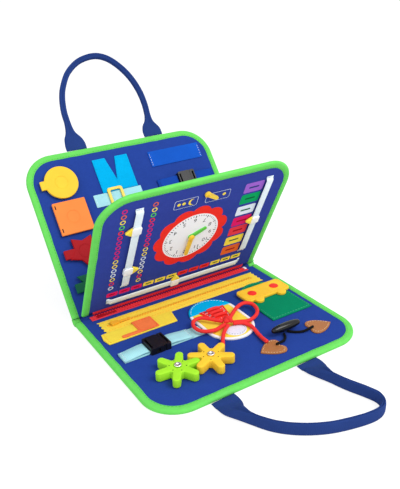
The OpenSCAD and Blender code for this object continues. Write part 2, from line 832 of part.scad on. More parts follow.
module green_gear() color("greenyellow") petal_gear(green_gear_at, 0);
module yellow_gear() color("gold") petal_gear(yellow_gear_at, 180 / petals);

// Rivet that holds a turning piece: washer, post and domed head
module rivet(foot_r, foot_h, r, top, dome_r, dome_h) {
    ball_r = (dome_r * dome_r + dome_h * dome_h) / (2 * dome_h);
    cylinder(r = foot_r, h = foot_h);
    cylinder(r = r, h = top + dome_h / 2);
    translate([0, 0, top]) intersection() {
        cylinder(r = dome_r, h = dome_h);
        translate([0, 0, dome_h - ball_r]) sphere(ball_r);
    }
}

module gear_posts() {
    color("silver") on_front() for (at = [green_gear_at, yellow_gear_at])
        translate(at) rivet(washer_r, gear_floor, post_r, gear_top + run_gap, head_r, head_h);
}

// Flat strap that folds to a grip: each point gives its place, its flat share and its folded share
function strap_ring(p, i, grip_w, grip_h, on_floor) = let (at = p[i],
    t = heading([for (q = p) [q[0], q[1], 0]], i), s = sideways(t),
    w = (grip_w + (handle_end_w - grip_w) * at[2]) / 2, sewn = i == 0 || i == len(p) - 1,
    h = sewn ? handle_t * seam_press / 2 : (handle_t + (grip_h - handle_t) * at[3]) / 2,
    c = min(w, h) / 2, lift = on_floor ? max(h, handle_t / 2) : 0,
    corners = [[w, c - h], [w, h - c], [w - c, h], [c - w, h], [-w, h - c], [-w, c - h], [c - w, -h],
        [w - c, -h]])
    [for (k = corners) [at[0], at[1], lift] + k[0] * s + [0, 0, k[1]]];

module folded_strap(route, grip_w, grip_h, on_floor) {
    p = smooth(route, route_steps);
    skin([for (i = [0 : len(p) - 1]) strap_ring(p, i, grip_w, grip_h, on_floor)]);
}

module front_handle() {
    color("navy") translate([0, -fold_y, 0]) mirror([0, 1, 0])
        folded_strap(front_route, front_grip_w, front_grip_h, true);
}

module back_handle() {
    color("navy") on_back() translate([0, cover_l, -cover_t / 2])
        folded_strap(back_route, back_grip_d, back_grip_d, false);
}

// Ring pressed into the face of a snap shape
module pressed_ring() {
    translate([0, 0, snap_t - ring_depth]) difference() {
        cylinder(r = ring_r + ring_w, h = snap_t);
        translate([0, 0, -past]) cylinder(r = ring_r, h = snap_t + 2 * past);
    }
}

// Snap shape that is sewn down at its left end, by a tab or by its own edge
module snap_flap(row, tab_l) {
    on_back() translate([snap_x, snap_rows[row], snap_rest]) difference() {
        linear_extrude(snap_t) {
            children();
            translate([-snap_size / 2 - tab_l, -snap_tab_w / 2]) square([snap_size / 2, snap_tab_w]);
        }
        pressed_ring();
    }
}

module star_2d(r) {
    points = 5;
    polygon([for (i = [0 : 2 * points - 1])
        let (a = i * 180 / points, q = i % 2 == 0 ? r : r * star_in) [q * sin(a), -q * cos(a)]]);
}

module circle_flap() color("gold") snap_flap(0, snap_tab_l) circle(snap_size / 2);
module square_flap() color("orange") snap_flap(1, 0) square([snap_size, snap_size], center = true);
module star_flap() color("crimson") snap_flap(2, snap_tab_l) star_2d(snap_size * star_reach);
module triangle_flap() color("darkgreen") snap_flap(3, snap_tab_l) polygon([
    [-snap_size / 2, snap_size * triangle_base], [0, -snap_size * triangle_tip],
    [snap_size / 2, snap_size * triangle_base]]);

module snap_studs() {
    color("silver") on_back() for (row = snap_rows) translate([snap_x, row, 0]) difference() {
        cylinder(r = stud_r, h = stud_h);
        translate([0, 0, stud_h / 2]) cylinder(r = stud_r / 2, h = stud_h);
    }
}

module trousers() {
    half = trousers_w / 2;
    color("deepskyblue") on_back() translate([trousers_x, trousers_at, 0]) linear_extrude(shape_t)
        polygon([[-half, 0], [half, 0], [half, trousers_l], [half - leg_w, trousers_l], [0, crotch_l],
            [leg_w - half, trousers_l], [-half, trousers_l]]);
}

module belt() {
    color("paleturquoise") on_back() translate([belt_x - belt_l / 2, trousers_at - belt_w - edge_gap, 0])
        cube([belt_l, belt_w, belt_t]);
}

module belt_buckle() {
    inner = buckle_frame - 2 * [frame_rail, frame_rail];
    r = frame_rail;
    color("gold") on_back() translate([belt_buckle_x, trousers_at - belt_w / 2, frame_rest]) difference() {
        translate([-buckle_frame[0] / 2, 0, 0]) block(buckle_frame[0], buckle_frame[1], frame_t, r);
        translate([-inner[0] / 2, 0, -past]) block(inner[0], inner[1], frame_t + 2 * past, r / 2);
    }
}

module elastic_band() {
    color("mediumblue") on_back() translate([band_x - band_l / 2, band_at - band_w / 2, 0])
        cube([band_l, band_w, band_t]);
}

module page_felts() {
    color("darkslateblue") on_page() {
        translate([0, 0, -page_felt_t]) felt_layer(page_w, page_start, page_l, corner_r, page_felt_t,
            page_felt_t + page_rise - tape_t, binding_w);
        translate([0, 0, -page_t + page_felt_t]) mirror([0, 0, 1]) felt_layer(page_w, page_start, page_l,
            corner_r, page_felt_t, page_felt_t + page_rise - tape_t, binding_w);
    }
}

module page_stiffener() {
    start = page_start + page_zip_in + run_gap;
    color("tan") on_page() translate([0, 0, -page_felt_t - page_board_t]) linear_extrude(page_board_t)
        panel_2d(page_w - 2 * board_inset, start, page_l - board_inset, corner_r - board_inset);
}

module page_binding() {
    color("limegreen") on_page()
        binding_tape(page_w, page_binding_start, page_l, corner_r, -page_t - page_rise, page_rise);
}

module page_rivets() {
    color("silver") on_page() {
        translate(clock_at) rivet(pin_r, run_gap, pin_r, clock_pin_h, pin_head_r, pin_head_h);
        translate(pointer_at) rivet(pin_r, run_gap, pin_r, pointer_pin_h, pin_head_r, pin_head_h);
    }
}

// Tapered hand round a pin, pointing along +x
module hand(l) {
    tip = hand_w / 3;
    difference() {
        linear_extrude(hand_t) {
            circle(hand_w / 2);
            translate([l - tip, 0]) circle(tip);
            polygon([[0, -hand_root / 2], [l - tip, -tip], [l - tip, tip], [0, hand_root / 2]]);
        }
        translate([0, 0, -past]) cylinder(r = pin_r + pin_gap, h = hand_t + 2 * past);
    }
}

module minute_hand() color("gold") on_page() translate([clock_at[0], clock_at[1], minute_h])
    rotate(minute_angle) hand(minute_l);
module hour_hand() color("limegreen") on_page() translate([clock_at[0], clock_at[1], hour_h])
    rotate(hour_angle) hand(hour_l);
module pointer() color("gold") on_page() translate([pointer_at[0], pointer_at[1], hand_rest])
    rotate(pointer_angle) hand(pointer_l);

module ribbons() {
    color("lightcyan") on_page() {
        for (x = [left_ribbon_x, right_ribbon_x])
            translate([x - ribbon_w / 2, side_ribbon_at, 0]) cube([ribbon_w, side_ribbon_l, ribbon_t]);
        translate([-low_ribbon_l / 2, low_ribbon_at - ribbon_w / 2, 0])
            cube([low_ribbon_l, ribbon_w, ribbon_t]);
    }
}

// Marker that slides on a ribbon, with its nose along +x
module ribbon_slider() {
    r = ribbon_slider_w / 2;
    translate([0, 0, slider_rest]) linear_extrude(ribbon_slider_h) {
        translate([-r, -r]) square([2 * r, 2 * r]);
        polygon([[r, -r], [r + ribbon_slider_nose, 0], [r, r]]);
    }
}

module left_upper_slider() color("gold") on_page() translate([left_ribbon_x, upper_slider_at, 0])
    rotate(180) ribbon_slider();
module left_lower_slider() color("gold") on_page() translate([left_ribbon_x, lower_slider_at, 0])
    ribbon_slider();
module right_slider() color("gold") on_page() translate([right_ribbon_x, right_slider_at, 0])
    rotate(180) ribbon_slider();
module low_slider() color("gold") on_page() translate([low_slider_x, low_ribbon_at, 0])
    rotate(90) ribbon_slider();

front_felts();
front_stiffener();
front_binding();
cover_fold();
fold_binding();
page_zip_lower();
page_zip_slider();
pouch_zip();
pouch_zip_slider();
pouch();
pouch_patch();
buckle_straps();
buckle_socket();
buckle_plug();
shoe_upper();
shoe_collar();
shoe_trim();
shoe_eyestay();
lace_knot();
lace_loops();
lace_ends();
garage_pocket();
bus_body();
bus_windows();
toggle_patches();
toggle_cords();
toggle();
gear_posts();
green_gear();
yellow_gear();
front_handle();
back_felts();
back_stiffener();
back_binding();
snap_studs();
circle_flap();
square_flap();
star_flap();
triangle_flap();
trousers();
belt();
belt_buckle();
elastic_band();
clasp_straps();
clasp_socket();
clasp_plug();
back_handle();
page_felts();
page_stiffener();
page_binding();
page_zip_upper();
page_rivets();
minute_hand();
hour_hand();
ribbons();
left_upper_slider();
left_lower_slider();
right_slider();
low_slider();
pointer();
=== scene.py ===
import json
import math

import bmesh
import bpy
from mathutils import Matrix, Vector, noise
from mathutils.geometry import delaunay_2d_cdt
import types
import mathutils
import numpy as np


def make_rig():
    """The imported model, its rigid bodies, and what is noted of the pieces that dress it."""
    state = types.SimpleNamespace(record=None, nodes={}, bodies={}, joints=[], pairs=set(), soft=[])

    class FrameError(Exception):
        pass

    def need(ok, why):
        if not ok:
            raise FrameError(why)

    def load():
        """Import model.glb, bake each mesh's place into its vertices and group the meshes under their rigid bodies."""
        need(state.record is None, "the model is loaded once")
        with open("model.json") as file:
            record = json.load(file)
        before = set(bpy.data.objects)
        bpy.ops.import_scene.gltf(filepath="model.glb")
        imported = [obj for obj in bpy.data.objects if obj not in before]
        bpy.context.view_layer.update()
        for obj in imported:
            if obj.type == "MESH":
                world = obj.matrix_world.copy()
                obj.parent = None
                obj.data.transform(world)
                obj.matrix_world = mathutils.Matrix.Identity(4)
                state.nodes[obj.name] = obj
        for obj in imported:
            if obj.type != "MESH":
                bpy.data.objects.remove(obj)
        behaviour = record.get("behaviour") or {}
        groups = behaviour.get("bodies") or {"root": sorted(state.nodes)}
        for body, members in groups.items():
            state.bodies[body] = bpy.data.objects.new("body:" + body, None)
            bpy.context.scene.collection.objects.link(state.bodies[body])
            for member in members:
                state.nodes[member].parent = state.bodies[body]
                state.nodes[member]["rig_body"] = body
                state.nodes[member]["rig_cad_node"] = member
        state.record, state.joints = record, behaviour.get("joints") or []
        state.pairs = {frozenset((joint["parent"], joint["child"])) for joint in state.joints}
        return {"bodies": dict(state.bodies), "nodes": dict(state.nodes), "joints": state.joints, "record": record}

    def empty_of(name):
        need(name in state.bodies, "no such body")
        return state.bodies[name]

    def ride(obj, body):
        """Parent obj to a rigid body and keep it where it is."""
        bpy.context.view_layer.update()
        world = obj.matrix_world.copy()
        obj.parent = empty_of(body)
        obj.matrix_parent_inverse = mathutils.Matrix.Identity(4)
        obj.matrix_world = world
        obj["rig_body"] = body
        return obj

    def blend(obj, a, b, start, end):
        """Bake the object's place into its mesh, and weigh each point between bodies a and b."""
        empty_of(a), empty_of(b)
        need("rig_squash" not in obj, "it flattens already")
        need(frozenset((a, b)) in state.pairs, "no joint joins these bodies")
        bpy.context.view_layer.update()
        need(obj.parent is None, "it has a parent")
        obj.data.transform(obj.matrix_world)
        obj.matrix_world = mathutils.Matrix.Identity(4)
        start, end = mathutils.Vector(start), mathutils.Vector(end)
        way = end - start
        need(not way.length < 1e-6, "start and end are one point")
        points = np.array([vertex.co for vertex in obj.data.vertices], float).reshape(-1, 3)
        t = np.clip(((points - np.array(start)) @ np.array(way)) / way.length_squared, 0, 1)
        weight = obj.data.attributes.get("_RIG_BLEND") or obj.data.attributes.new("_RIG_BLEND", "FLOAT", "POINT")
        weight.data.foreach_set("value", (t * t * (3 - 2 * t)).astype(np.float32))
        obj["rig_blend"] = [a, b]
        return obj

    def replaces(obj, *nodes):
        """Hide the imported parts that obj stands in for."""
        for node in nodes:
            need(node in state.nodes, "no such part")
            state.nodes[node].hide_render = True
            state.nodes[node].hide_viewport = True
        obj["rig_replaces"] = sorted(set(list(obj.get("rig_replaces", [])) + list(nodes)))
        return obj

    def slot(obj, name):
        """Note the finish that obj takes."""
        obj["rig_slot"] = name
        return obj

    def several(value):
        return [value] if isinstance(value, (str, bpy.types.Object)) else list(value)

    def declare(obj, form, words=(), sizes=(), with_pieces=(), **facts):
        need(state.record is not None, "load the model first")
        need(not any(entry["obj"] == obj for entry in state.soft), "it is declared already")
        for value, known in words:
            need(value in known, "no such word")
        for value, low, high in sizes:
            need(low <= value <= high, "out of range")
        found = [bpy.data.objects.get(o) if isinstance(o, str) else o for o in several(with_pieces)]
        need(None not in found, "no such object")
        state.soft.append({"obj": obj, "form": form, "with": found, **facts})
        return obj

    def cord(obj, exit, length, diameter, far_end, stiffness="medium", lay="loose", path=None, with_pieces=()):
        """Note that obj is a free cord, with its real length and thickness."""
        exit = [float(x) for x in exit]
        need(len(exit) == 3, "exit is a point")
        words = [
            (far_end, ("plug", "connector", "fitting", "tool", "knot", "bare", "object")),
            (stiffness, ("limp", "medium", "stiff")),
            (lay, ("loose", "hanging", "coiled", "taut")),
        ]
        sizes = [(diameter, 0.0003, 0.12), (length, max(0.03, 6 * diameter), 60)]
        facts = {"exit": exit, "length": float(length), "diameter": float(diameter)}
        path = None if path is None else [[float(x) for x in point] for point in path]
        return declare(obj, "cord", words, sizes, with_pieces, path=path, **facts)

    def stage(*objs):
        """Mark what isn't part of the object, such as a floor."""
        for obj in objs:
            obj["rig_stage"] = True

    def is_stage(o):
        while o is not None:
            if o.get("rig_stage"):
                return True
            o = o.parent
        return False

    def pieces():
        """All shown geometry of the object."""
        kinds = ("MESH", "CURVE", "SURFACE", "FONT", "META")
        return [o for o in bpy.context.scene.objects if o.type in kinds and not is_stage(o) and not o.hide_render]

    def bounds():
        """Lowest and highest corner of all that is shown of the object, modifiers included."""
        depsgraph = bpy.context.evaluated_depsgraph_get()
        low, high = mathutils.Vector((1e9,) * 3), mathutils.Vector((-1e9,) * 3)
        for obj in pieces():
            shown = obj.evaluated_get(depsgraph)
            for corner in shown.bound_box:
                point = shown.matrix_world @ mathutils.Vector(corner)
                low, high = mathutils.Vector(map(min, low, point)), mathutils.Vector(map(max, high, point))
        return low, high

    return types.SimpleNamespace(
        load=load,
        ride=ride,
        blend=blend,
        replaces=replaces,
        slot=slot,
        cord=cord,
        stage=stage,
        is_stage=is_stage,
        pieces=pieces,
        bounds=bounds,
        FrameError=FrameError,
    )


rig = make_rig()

bl_info = {
    "name": "Felt activity book",
    "version": (1, 0, 0),
    "blender": (4, 5, 0),
    "location": "View3D > Sidebar > Activity book",
    "description": "Dresses the solids of a felt activity book with cloth, thread, plastic and print",
    "category": "Object",
}

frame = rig.load()
CAD_BOX = [list(corner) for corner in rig.bounds()]
NODES = frame["nodes"]
MM = 0.001

# Sizes in millimetres that the solids share: the fold line, the panels and their tilt.
FOLD_Y = 118.0
COVER_T = 5.0
FOLD_GAP = 2.4
AXIS_H = COVER_T + FOLD_GAP
COVER_W, COVER_L = 300.0, 236.0
PAGE_W, PAGE_L, PAGE_T = 279.0, 222.0, 3.9
CORNER_R = 44.0
BACK_TILT = math.radians(52.0)
PAGE_TILT = math.radians(117.3)
# Where the dressed panels start from the fold, their felt's inset and wave grid, and their tape's width.
COVER_START, PAGE_START, PAGE_FELT_START = 3, 7, 10
FELT_INSET, FELT_GRID = 1.2, 7.0
BINDING_W = 9.4


def front(x, d, h):
    """Point of the front cover: along the fold, away from it, above the inner felt."""
    return Vector((x, FOLD_Y - d, COVER_T + h)) * MM


def tilted(x, d, z, tilt):
    """Point of a panel that stands at a tilt on the fold's axis."""
    c, s = math.cos(tilt), math.sin(tilt)
    return Vector((x, FOLD_Y + d * c - z * s, AXIS_H + d * s + z * c)) * MM


def back(x, d, h):
    """Point of the back cover, measured as on the front cover."""
    return tilted(x, d, h - FOLD_GAP, BACK_TILT)


def page(x, d, h):
    """Point of the page's face."""
    return tilted(x, d, h + PAGE_T / 2, PAGE_TILT)


def linear(red, green, blue):
    """Linear colour of an sRGB colour given from 0 to 255."""
    return tuple(
        (v / 255 / 12.92) if v <= 10 else ((v / 255 + 0.055) / 1.055) ** 2.4
        for v in (red, green, blue)
    )


class Value:
    """A shader socket that takes part in Python arithmetic; each step adds a Math node."""

    def __init__(self, nodes, socket):
        self.nodes, self.socket = nodes, socket

    def math(self, operation, first, second=0.0):
        """A Math node's result for two numbers or values."""
        node = self.nodes.add("ShaderNodeMath", {"operation": operation}, {0: first, 1: second})
        return self.nodes.take(node)

    def __add__(self, other):
        return self.math("ADD", self, other)

    def __sub__(self, other):
        return self.math("SUBTRACT", self, other)

    def __rsub__(self, other):
        return self.math("SUBTRACT", other, self)

    def __mul__(self, other):
        return self.math("MULTIPLY", self, other)

    __radd__ = __add__
    __rmul__ = __mul__

    def power(self, exponent):
        return self.math("POWER", self, exponent)

    def sine(self):
        return self.math("SINE", self)


class Nodes:
    """The node tree of a material or of the world, cleared and filled anew."""

    def __init__(self, owner):
        owner.use_nodes = True
        self.tree = owner.node_tree
        self.tree.nodes.clear()

    def add(self, kind, settings, sockets):
        """Adds a node of that type, with its settings first and then its sockets' values or links."""
        made = self.tree.nodes.new(kind)
        for key, setting in settings.items():
            setattr(made, key, setting)
        for key, value in sockets.items():
            if isinstance(value, Value):
                self.tree.links.new(value.socket, made.inputs[key])
            else:
                made.inputs[key].default_value = value
        return made

    def take(self, node, output=0):
        """One output of a node, ready for arithmetic or another node's socket."""
        return Value(self, node.outputs[output])

    def seen(self):
        """1 for what the camera, a gloss or a clear piece shows, and 0 for the light on the book."""
        path = self.add("ShaderNodeLightPath", {}, {})
        shown = self.take(path, "Is Camera Ray") + self.take(path, "Is Glossy Ray")
        return shown + self.take(path, "Is Transmission Ray")


class Shade(Nodes):
    """One procedural material: a Principled shader and the nodes that feed it."""

    def __init__(self, name, gloss=0.5, **constants):
        self.material = bpy.data.materials.new(name)
        super().__init__(self.material)
        constants["Specular IOR Level"] = gloss
        self.shader = self.add("ShaderNodeBsdfPrincipled", {}, constants)
        self.output = self.add("ShaderNodeOutputMaterial", {}, {"Surface": self.take(self.shader)})

    def place(self, kind):
        """Where a point of the surface is, in the object or on its unrolled faces."""
        return self.take(self.add("ShaderNodeTexCoord", {}, {}), kind)

    def cloud(self, scale, detail=3.0, roughness=0.55):
        """Noise from 0 to 1 whose grain is one over scale metres."""
        sockets = {"Vector": self.place("Object"), "Scale": scale, "Detail": detail, "Roughness": roughness}
        return self.take(self.add("ShaderNodeTexNoise", {}, sockets), "Fac")

    def pebbles(self, scale):
        """Distance from the middles of pebbles whose size is one over scale metres."""
        sockets = {"Vector": self.place("Object"), "Scale": scale}
        return self.take(self.add("ShaderNodeTexVoronoi", {}, sockets), "Distance")

    def phase(self, direction, pitch):
        """Phase of threads a pitch apart, along a piece for direction 0 and across it for 1."""
        split = self.add("ShaderNodeSeparateXYZ", {}, {0: self.place("UV")})
        return self.take(split, direction) * (2 * math.pi / pitch)

    def mix(self, factor, first, second):
        """Two colours mixed; 6 and 7 are the Mix node's colour sockets, and 2 is its colour output."""
        sockets = {"Factor": factor, 6: first, 7: second}
        return self.take(self.add("ShaderNodeMix", {"data_type": "RGBA"}, sockets), 2)

    def finish(self, base, roughness, height, strength, depth):
        """Feeds the shader its colour, its roughness and a relief of some depth in metres."""
        relief = self.add("ShaderNodeBump", {}, {"Height": height, "Strength": strength, "Distance": depth})
        fed = {"Base Color": base, "Roughness": roughness, "Normal": self.take(relief)}
        for socket, value in fed.items():
            self.tree.links.new(value.socket, self.shader.inputs[socket])
        return self.material


def tint(colour, share):
    """The colour lightened for a share above 1 and darkened for one below."""
    return (*[min(1.0, c * share) for c in colour], 1.0)


def felt(name, colour):
    """Pressed felt: mottled colour, loose fibres and a soft sheen."""
    shade = Shade(name, 0.02)
    fibres = shade.cloud(2600.0, 4.0, 0.7)
    blotch = shade.cloud(90.0) * 0.4 + shade.cloud(420.0) * 0.6
    base = shade.mix(blotch, tint(colour, 0.74), tint(colour, 1.24))
    base = shade.mix(fibres.power(2.0) * 0.5, base, tint(colour, 1.25))
    return shade.finish(base, fibres * 0.2 + 0.78, fibres * 0.7 + shade.cloud(600.0, 2.0), 0.5, 0.00014)


TAPE_PITCH, WEBBING_PITCH, BRAID_PITCH = 0.0011, 0.0022, 0.0034


def tape(name, colour):
    """Woven tape: fine cross ribs along its length and a little lustre."""
    shade = Shade(name, 0.08)
    weave = shade.phase(0, TAPE_PITCH).sine() * shade.phase(1, TAPE_PITCH / 1.3).sine() * 0.5 + 0.5
    rumple = shade.cloud(140.0)
    base = shade.mix(rumple, tint(colour, 0.95), tint(colour, 1.15))
    base = shade.mix(weave * 0.25, base, tint(colour, 0.86))
    return shade.finish(base, weave * 0.15 + 0.6, weave * 0.5 + rumple * 4.0, 0.5, 0.00012)


def webbing(name, colour):
    """Heavy webbing: bold cross ribs with a herringbone between them, and painted shade in the grooves."""
    shade = Shade(name, 0.06)
    along, across = shade.phase(0, WEBBING_PITCH), shade.phase(1, WEBBING_PITCH)
    zigzag = (along + across.sine() * 1.6).sine() * 0.5 + 0.5
    yarn = shade.cloud(1800.0, 2.0)
    # Slow random patches, a little darker and lighter than the colour.
    tone_patches = shade.cloud(60.0) * 0.4 + shade.cloud(11.0, 1.0) * 0.6
    base = shade.mix(tone_patches, tint(colour, 0.72), tint(colour, 1.28))
    # Painted shade: the low parts of the ribs are darkened, by a quarter at most.
    base = shade.mix(zigzag * 0.25 + 0.75, tint(colour, 0.7), base)
    return shade.finish(base, yarn * 0.2 + 0.68, zigzag + yarn * 0.3, 0.6, 0.00025)


def braid(name, colour):
    """Braided cord: strands that cross over each other, with painted shade in the grooves between them."""
    shade = Shade(name, 0.1)
    along, around = shade.phase(0, BRAID_PITCH), shade.phase(1, BRAID_PITCH)
    strands = ((along + around).sine() * (along - around).sine()) * 0.5 + 0.5
    base = shade.mix(shade.cloud(300.0), tint(colour, 0.85), tint(colour, 1.15))
    # Painted shade: the grooves between the strands are darkened, by two fifths at most.
    base = shade.mix(strands * 0.4 + 0.6, tint(colour, 0.7), base)
    return shade.finish(base, strands * 0.15 + 0.65, strands, 0.6, 0.0003)


def foam(name, colour):
    """Dense craft foam or moulded rubber: fine pores under a dull skin."""
    shade = Shade(name, 0.15)
    pores = shade.cloud(1500.0)
    base = shade.mix(shade.cloud(45.0, 2.0), tint(colour, 0.88), tint(colour, 1.08))
    return shade.finish(base, pores * 0.25 + 0.45, pores, 0.25, 0.0001)


def plastic(name, colour, rough=0.27):
    """Moulded plastic: slight flow marks, handling scuffs and an even gloss."""
    shade = Shade(name, 0.35)
    flow, scuff = shade.cloud(70.0), shade.cloud(900.0, 4.0, 0.7)
    base = shade.mix(flow, tint(colour, 0.9), tint(colour, 1.08))
    return shade.finish(base, scuff * 0.22 + rough, flow * 0.6 + scuff * 0.1, 0.12, 0.0003)


def horn(name, colour):
    """Polished horn, smoother than the plastics."""
    return plastic(name, colour, 0.08)


def leather(name, colour):
    """Vegetable-tanned leather: pebbled grain, darker in the creases."""
    shade = Shade(name, 0.4)
    grain, stain = shade.pebbles(1100.0), shade.cloud(120.0, 4.0)
    base = shade.mix(stain, tint(colour, 0.72), tint(colour, 1.2))
    base = shade.mix(grain, tint(colour, 0.6), base)
    return shade.finish(base, grain * 0.2 + 0.42, grain + stain * 0.5, 0.4, 0.00015)


def metal(name, colour):
    """Plated rivet metal: fine polishing marks and slight tarnish."""
    shade = Shade(name, Metallic=1.0)
    marks, tarnish = shade.cloud(1400.0), shade.cloud(160.0)
    base = shade.mix(tarnish, tint(colour, 0.8), tint(colour, 1.05))
    return shade.finish(base, marks * 0.18 + tarnish * 0.1 + 0.14, marks, 0.08, 0.00008)


def card(name, colour):
    """Grey-brown board: pulp flecks on a pressed face."""
    shade = Shade(name, 0.1)
    flecks = shade.cloud(1200.0, 4.0, 0.8)
    base = shade.mix(flecks, tint(colour, 0.7), tint(colour, 1.2))
    return shade.finish(base, flecks * 0.1 + 0.85, flecks, 0.3, 0.0001)


def ink(name, colour):
    """Printed ink on felt: the fibres show through the colour."""
    shade = Shade(name, 0.04)
    fibres = shade.cloud(2200.0, 3.0, 0.7)
    base = shade.mix(fibres.power(2.0), tint(colour, 1.05), tint(colour, 0.86))
    return shade.finish(base, fibres * 0.2 + 0.72, fibres, 0.35, 0.00012)


def circle(x, y, r, steps=48, first=0.0, last=360.0):
    """Points of an arc, counter-clockwise from the first angle to the last in degrees."""
    whole = abs(last - first) >= 360.0
    count = steps if whole else steps + 1
    angles = [math.radians(first + (last - first) * i / steps) for i in range(count)]
    return [(x + r * math.cos(a), y + r * math.sin(a)) for a in angles]


def rectangle(x0, y0, x1, y1, r=0.0):
    """Corner points of an upright rectangle, with round corners for a radius."""
    if not r:
        return [(x0, y0), (x1, y0), (x1, y1), (x0, y1)]
    return (
        circle(x1 - r, y0 + r, r, 6, -90, 0)
        + circle(x1 - r, y1 - r, r, 6, 0, 90)
        + circle(x0 + r, y1 - r, r, 6, 90, 180)
        + circle(x0 + r, y0 + r, r, 6, 180, 270)
    )


def panel_outline(width, start, end, r):
    """Panel with square corners at the fold and round ones at the free edge."""
    half = width / 2
    return (
        [(-half, start), (half, start)]
        + circle(half - r, end - r, r, 14, 0, 90)
        + circle(r - half, end - r, r, 14, 90, 180)
    )


def shift(points, x, y):
    """The outline moved along and away from the fold."""
    return [(px + x, py + y) for px, py in points]


def turned(points, degrees):
    """The outline turned about its own middle."""
    c, s = math.cos(math.radians(degrees)), math.sin(math.radians(degrees))
    return [(x * c - y * s, x * s + y * c) for x, y in points]


def refined(points, step, closed=True):
    """The same line with points no further apart than step."""
    found = []
    ends = points[1:] + points[:1] if closed else points[1:]
    for (ax, ay), (bx, by) in zip(points, ends):
        count = max(1, math.ceil(math.hypot(bx - ax, by - ay) / step))
        found += [(ax + (bx - ax) * i / count, ay + (by - ay) * i / count) for i in range(count)]
    return found if closed else found + [points[-1]]


def inward(points):
    """Inward direction at each point of a counter-clockwise outline."""
    found = []
    for i, here in enumerate(points):
        before, after = Vector(points[i - 1]), Vector(points[(i + 1) % len(points)])
        here = Vector(here)
        a, b = here - before, after - here
        na = Vector((-a.y, a.x)).normalized() if a.length else Vector((0, 0))
        nb = Vector((-b.y, b.x)).normalized() if b.length else Vector((0, 0))
        mid = (na + nb).normalized() if (na + nb).length > 1e-6 else na
        found.append(mid / max(0.6, mid.dot(nb)))
    return found


def inside(point, outline):
    """Whether a point lies within an outline."""
    x, y = point
    hit = False
    for (ax, ay), (bx, by) in zip(outline, outline[1:] + outline[:1]):
        if (ay > y) != (by > y) and x < (bx - ax) * (y - ay) / (by - ay) + ax:
            hit = not hit
    return hit


def lattice(outline, grid):
    """Points of a square grid over an outline."""
    xs, ys = [p[0] for p in outline], [p[1] for p in outline]
    x = min(xs) + grid / 2
    while x < max(xs):
        y = min(ys) + grid / 2
        while y < max(ys):
            yield x, y
            y += grid
        x += grid


def smooth_route(points, steps=8):
    """Points of a smooth curve through a route."""
    vectors = [Vector(p) for p in points]
    found = []
    for i in range(len(vectors) - 1):
        a, b, c = vectors[max(i - 1, 0)], vectors[i], vectors[i + 1]
        d = vectors[min(i + 2, len(vectors) - 1)]
        bend, twist = 2 * a - 5 * b + 4 * c - d, 3 * b - a - 3 * c + d
        for s in range(steps):
            t = s / steps
            found.append((2 * b + (c - a) * t + bend * t**2 + twist * t**3) / 2)
    return found + [vectors[-1]]


# Lengths of the felt's slow and fine waves, and the fine ones' share of the height.
SLOW_WAVE, FINE_WAVE, FINE_SHARE = 17, 5, 0.4
# How far in from its edge a crown rises.
CROWN_EDGE = 6.0


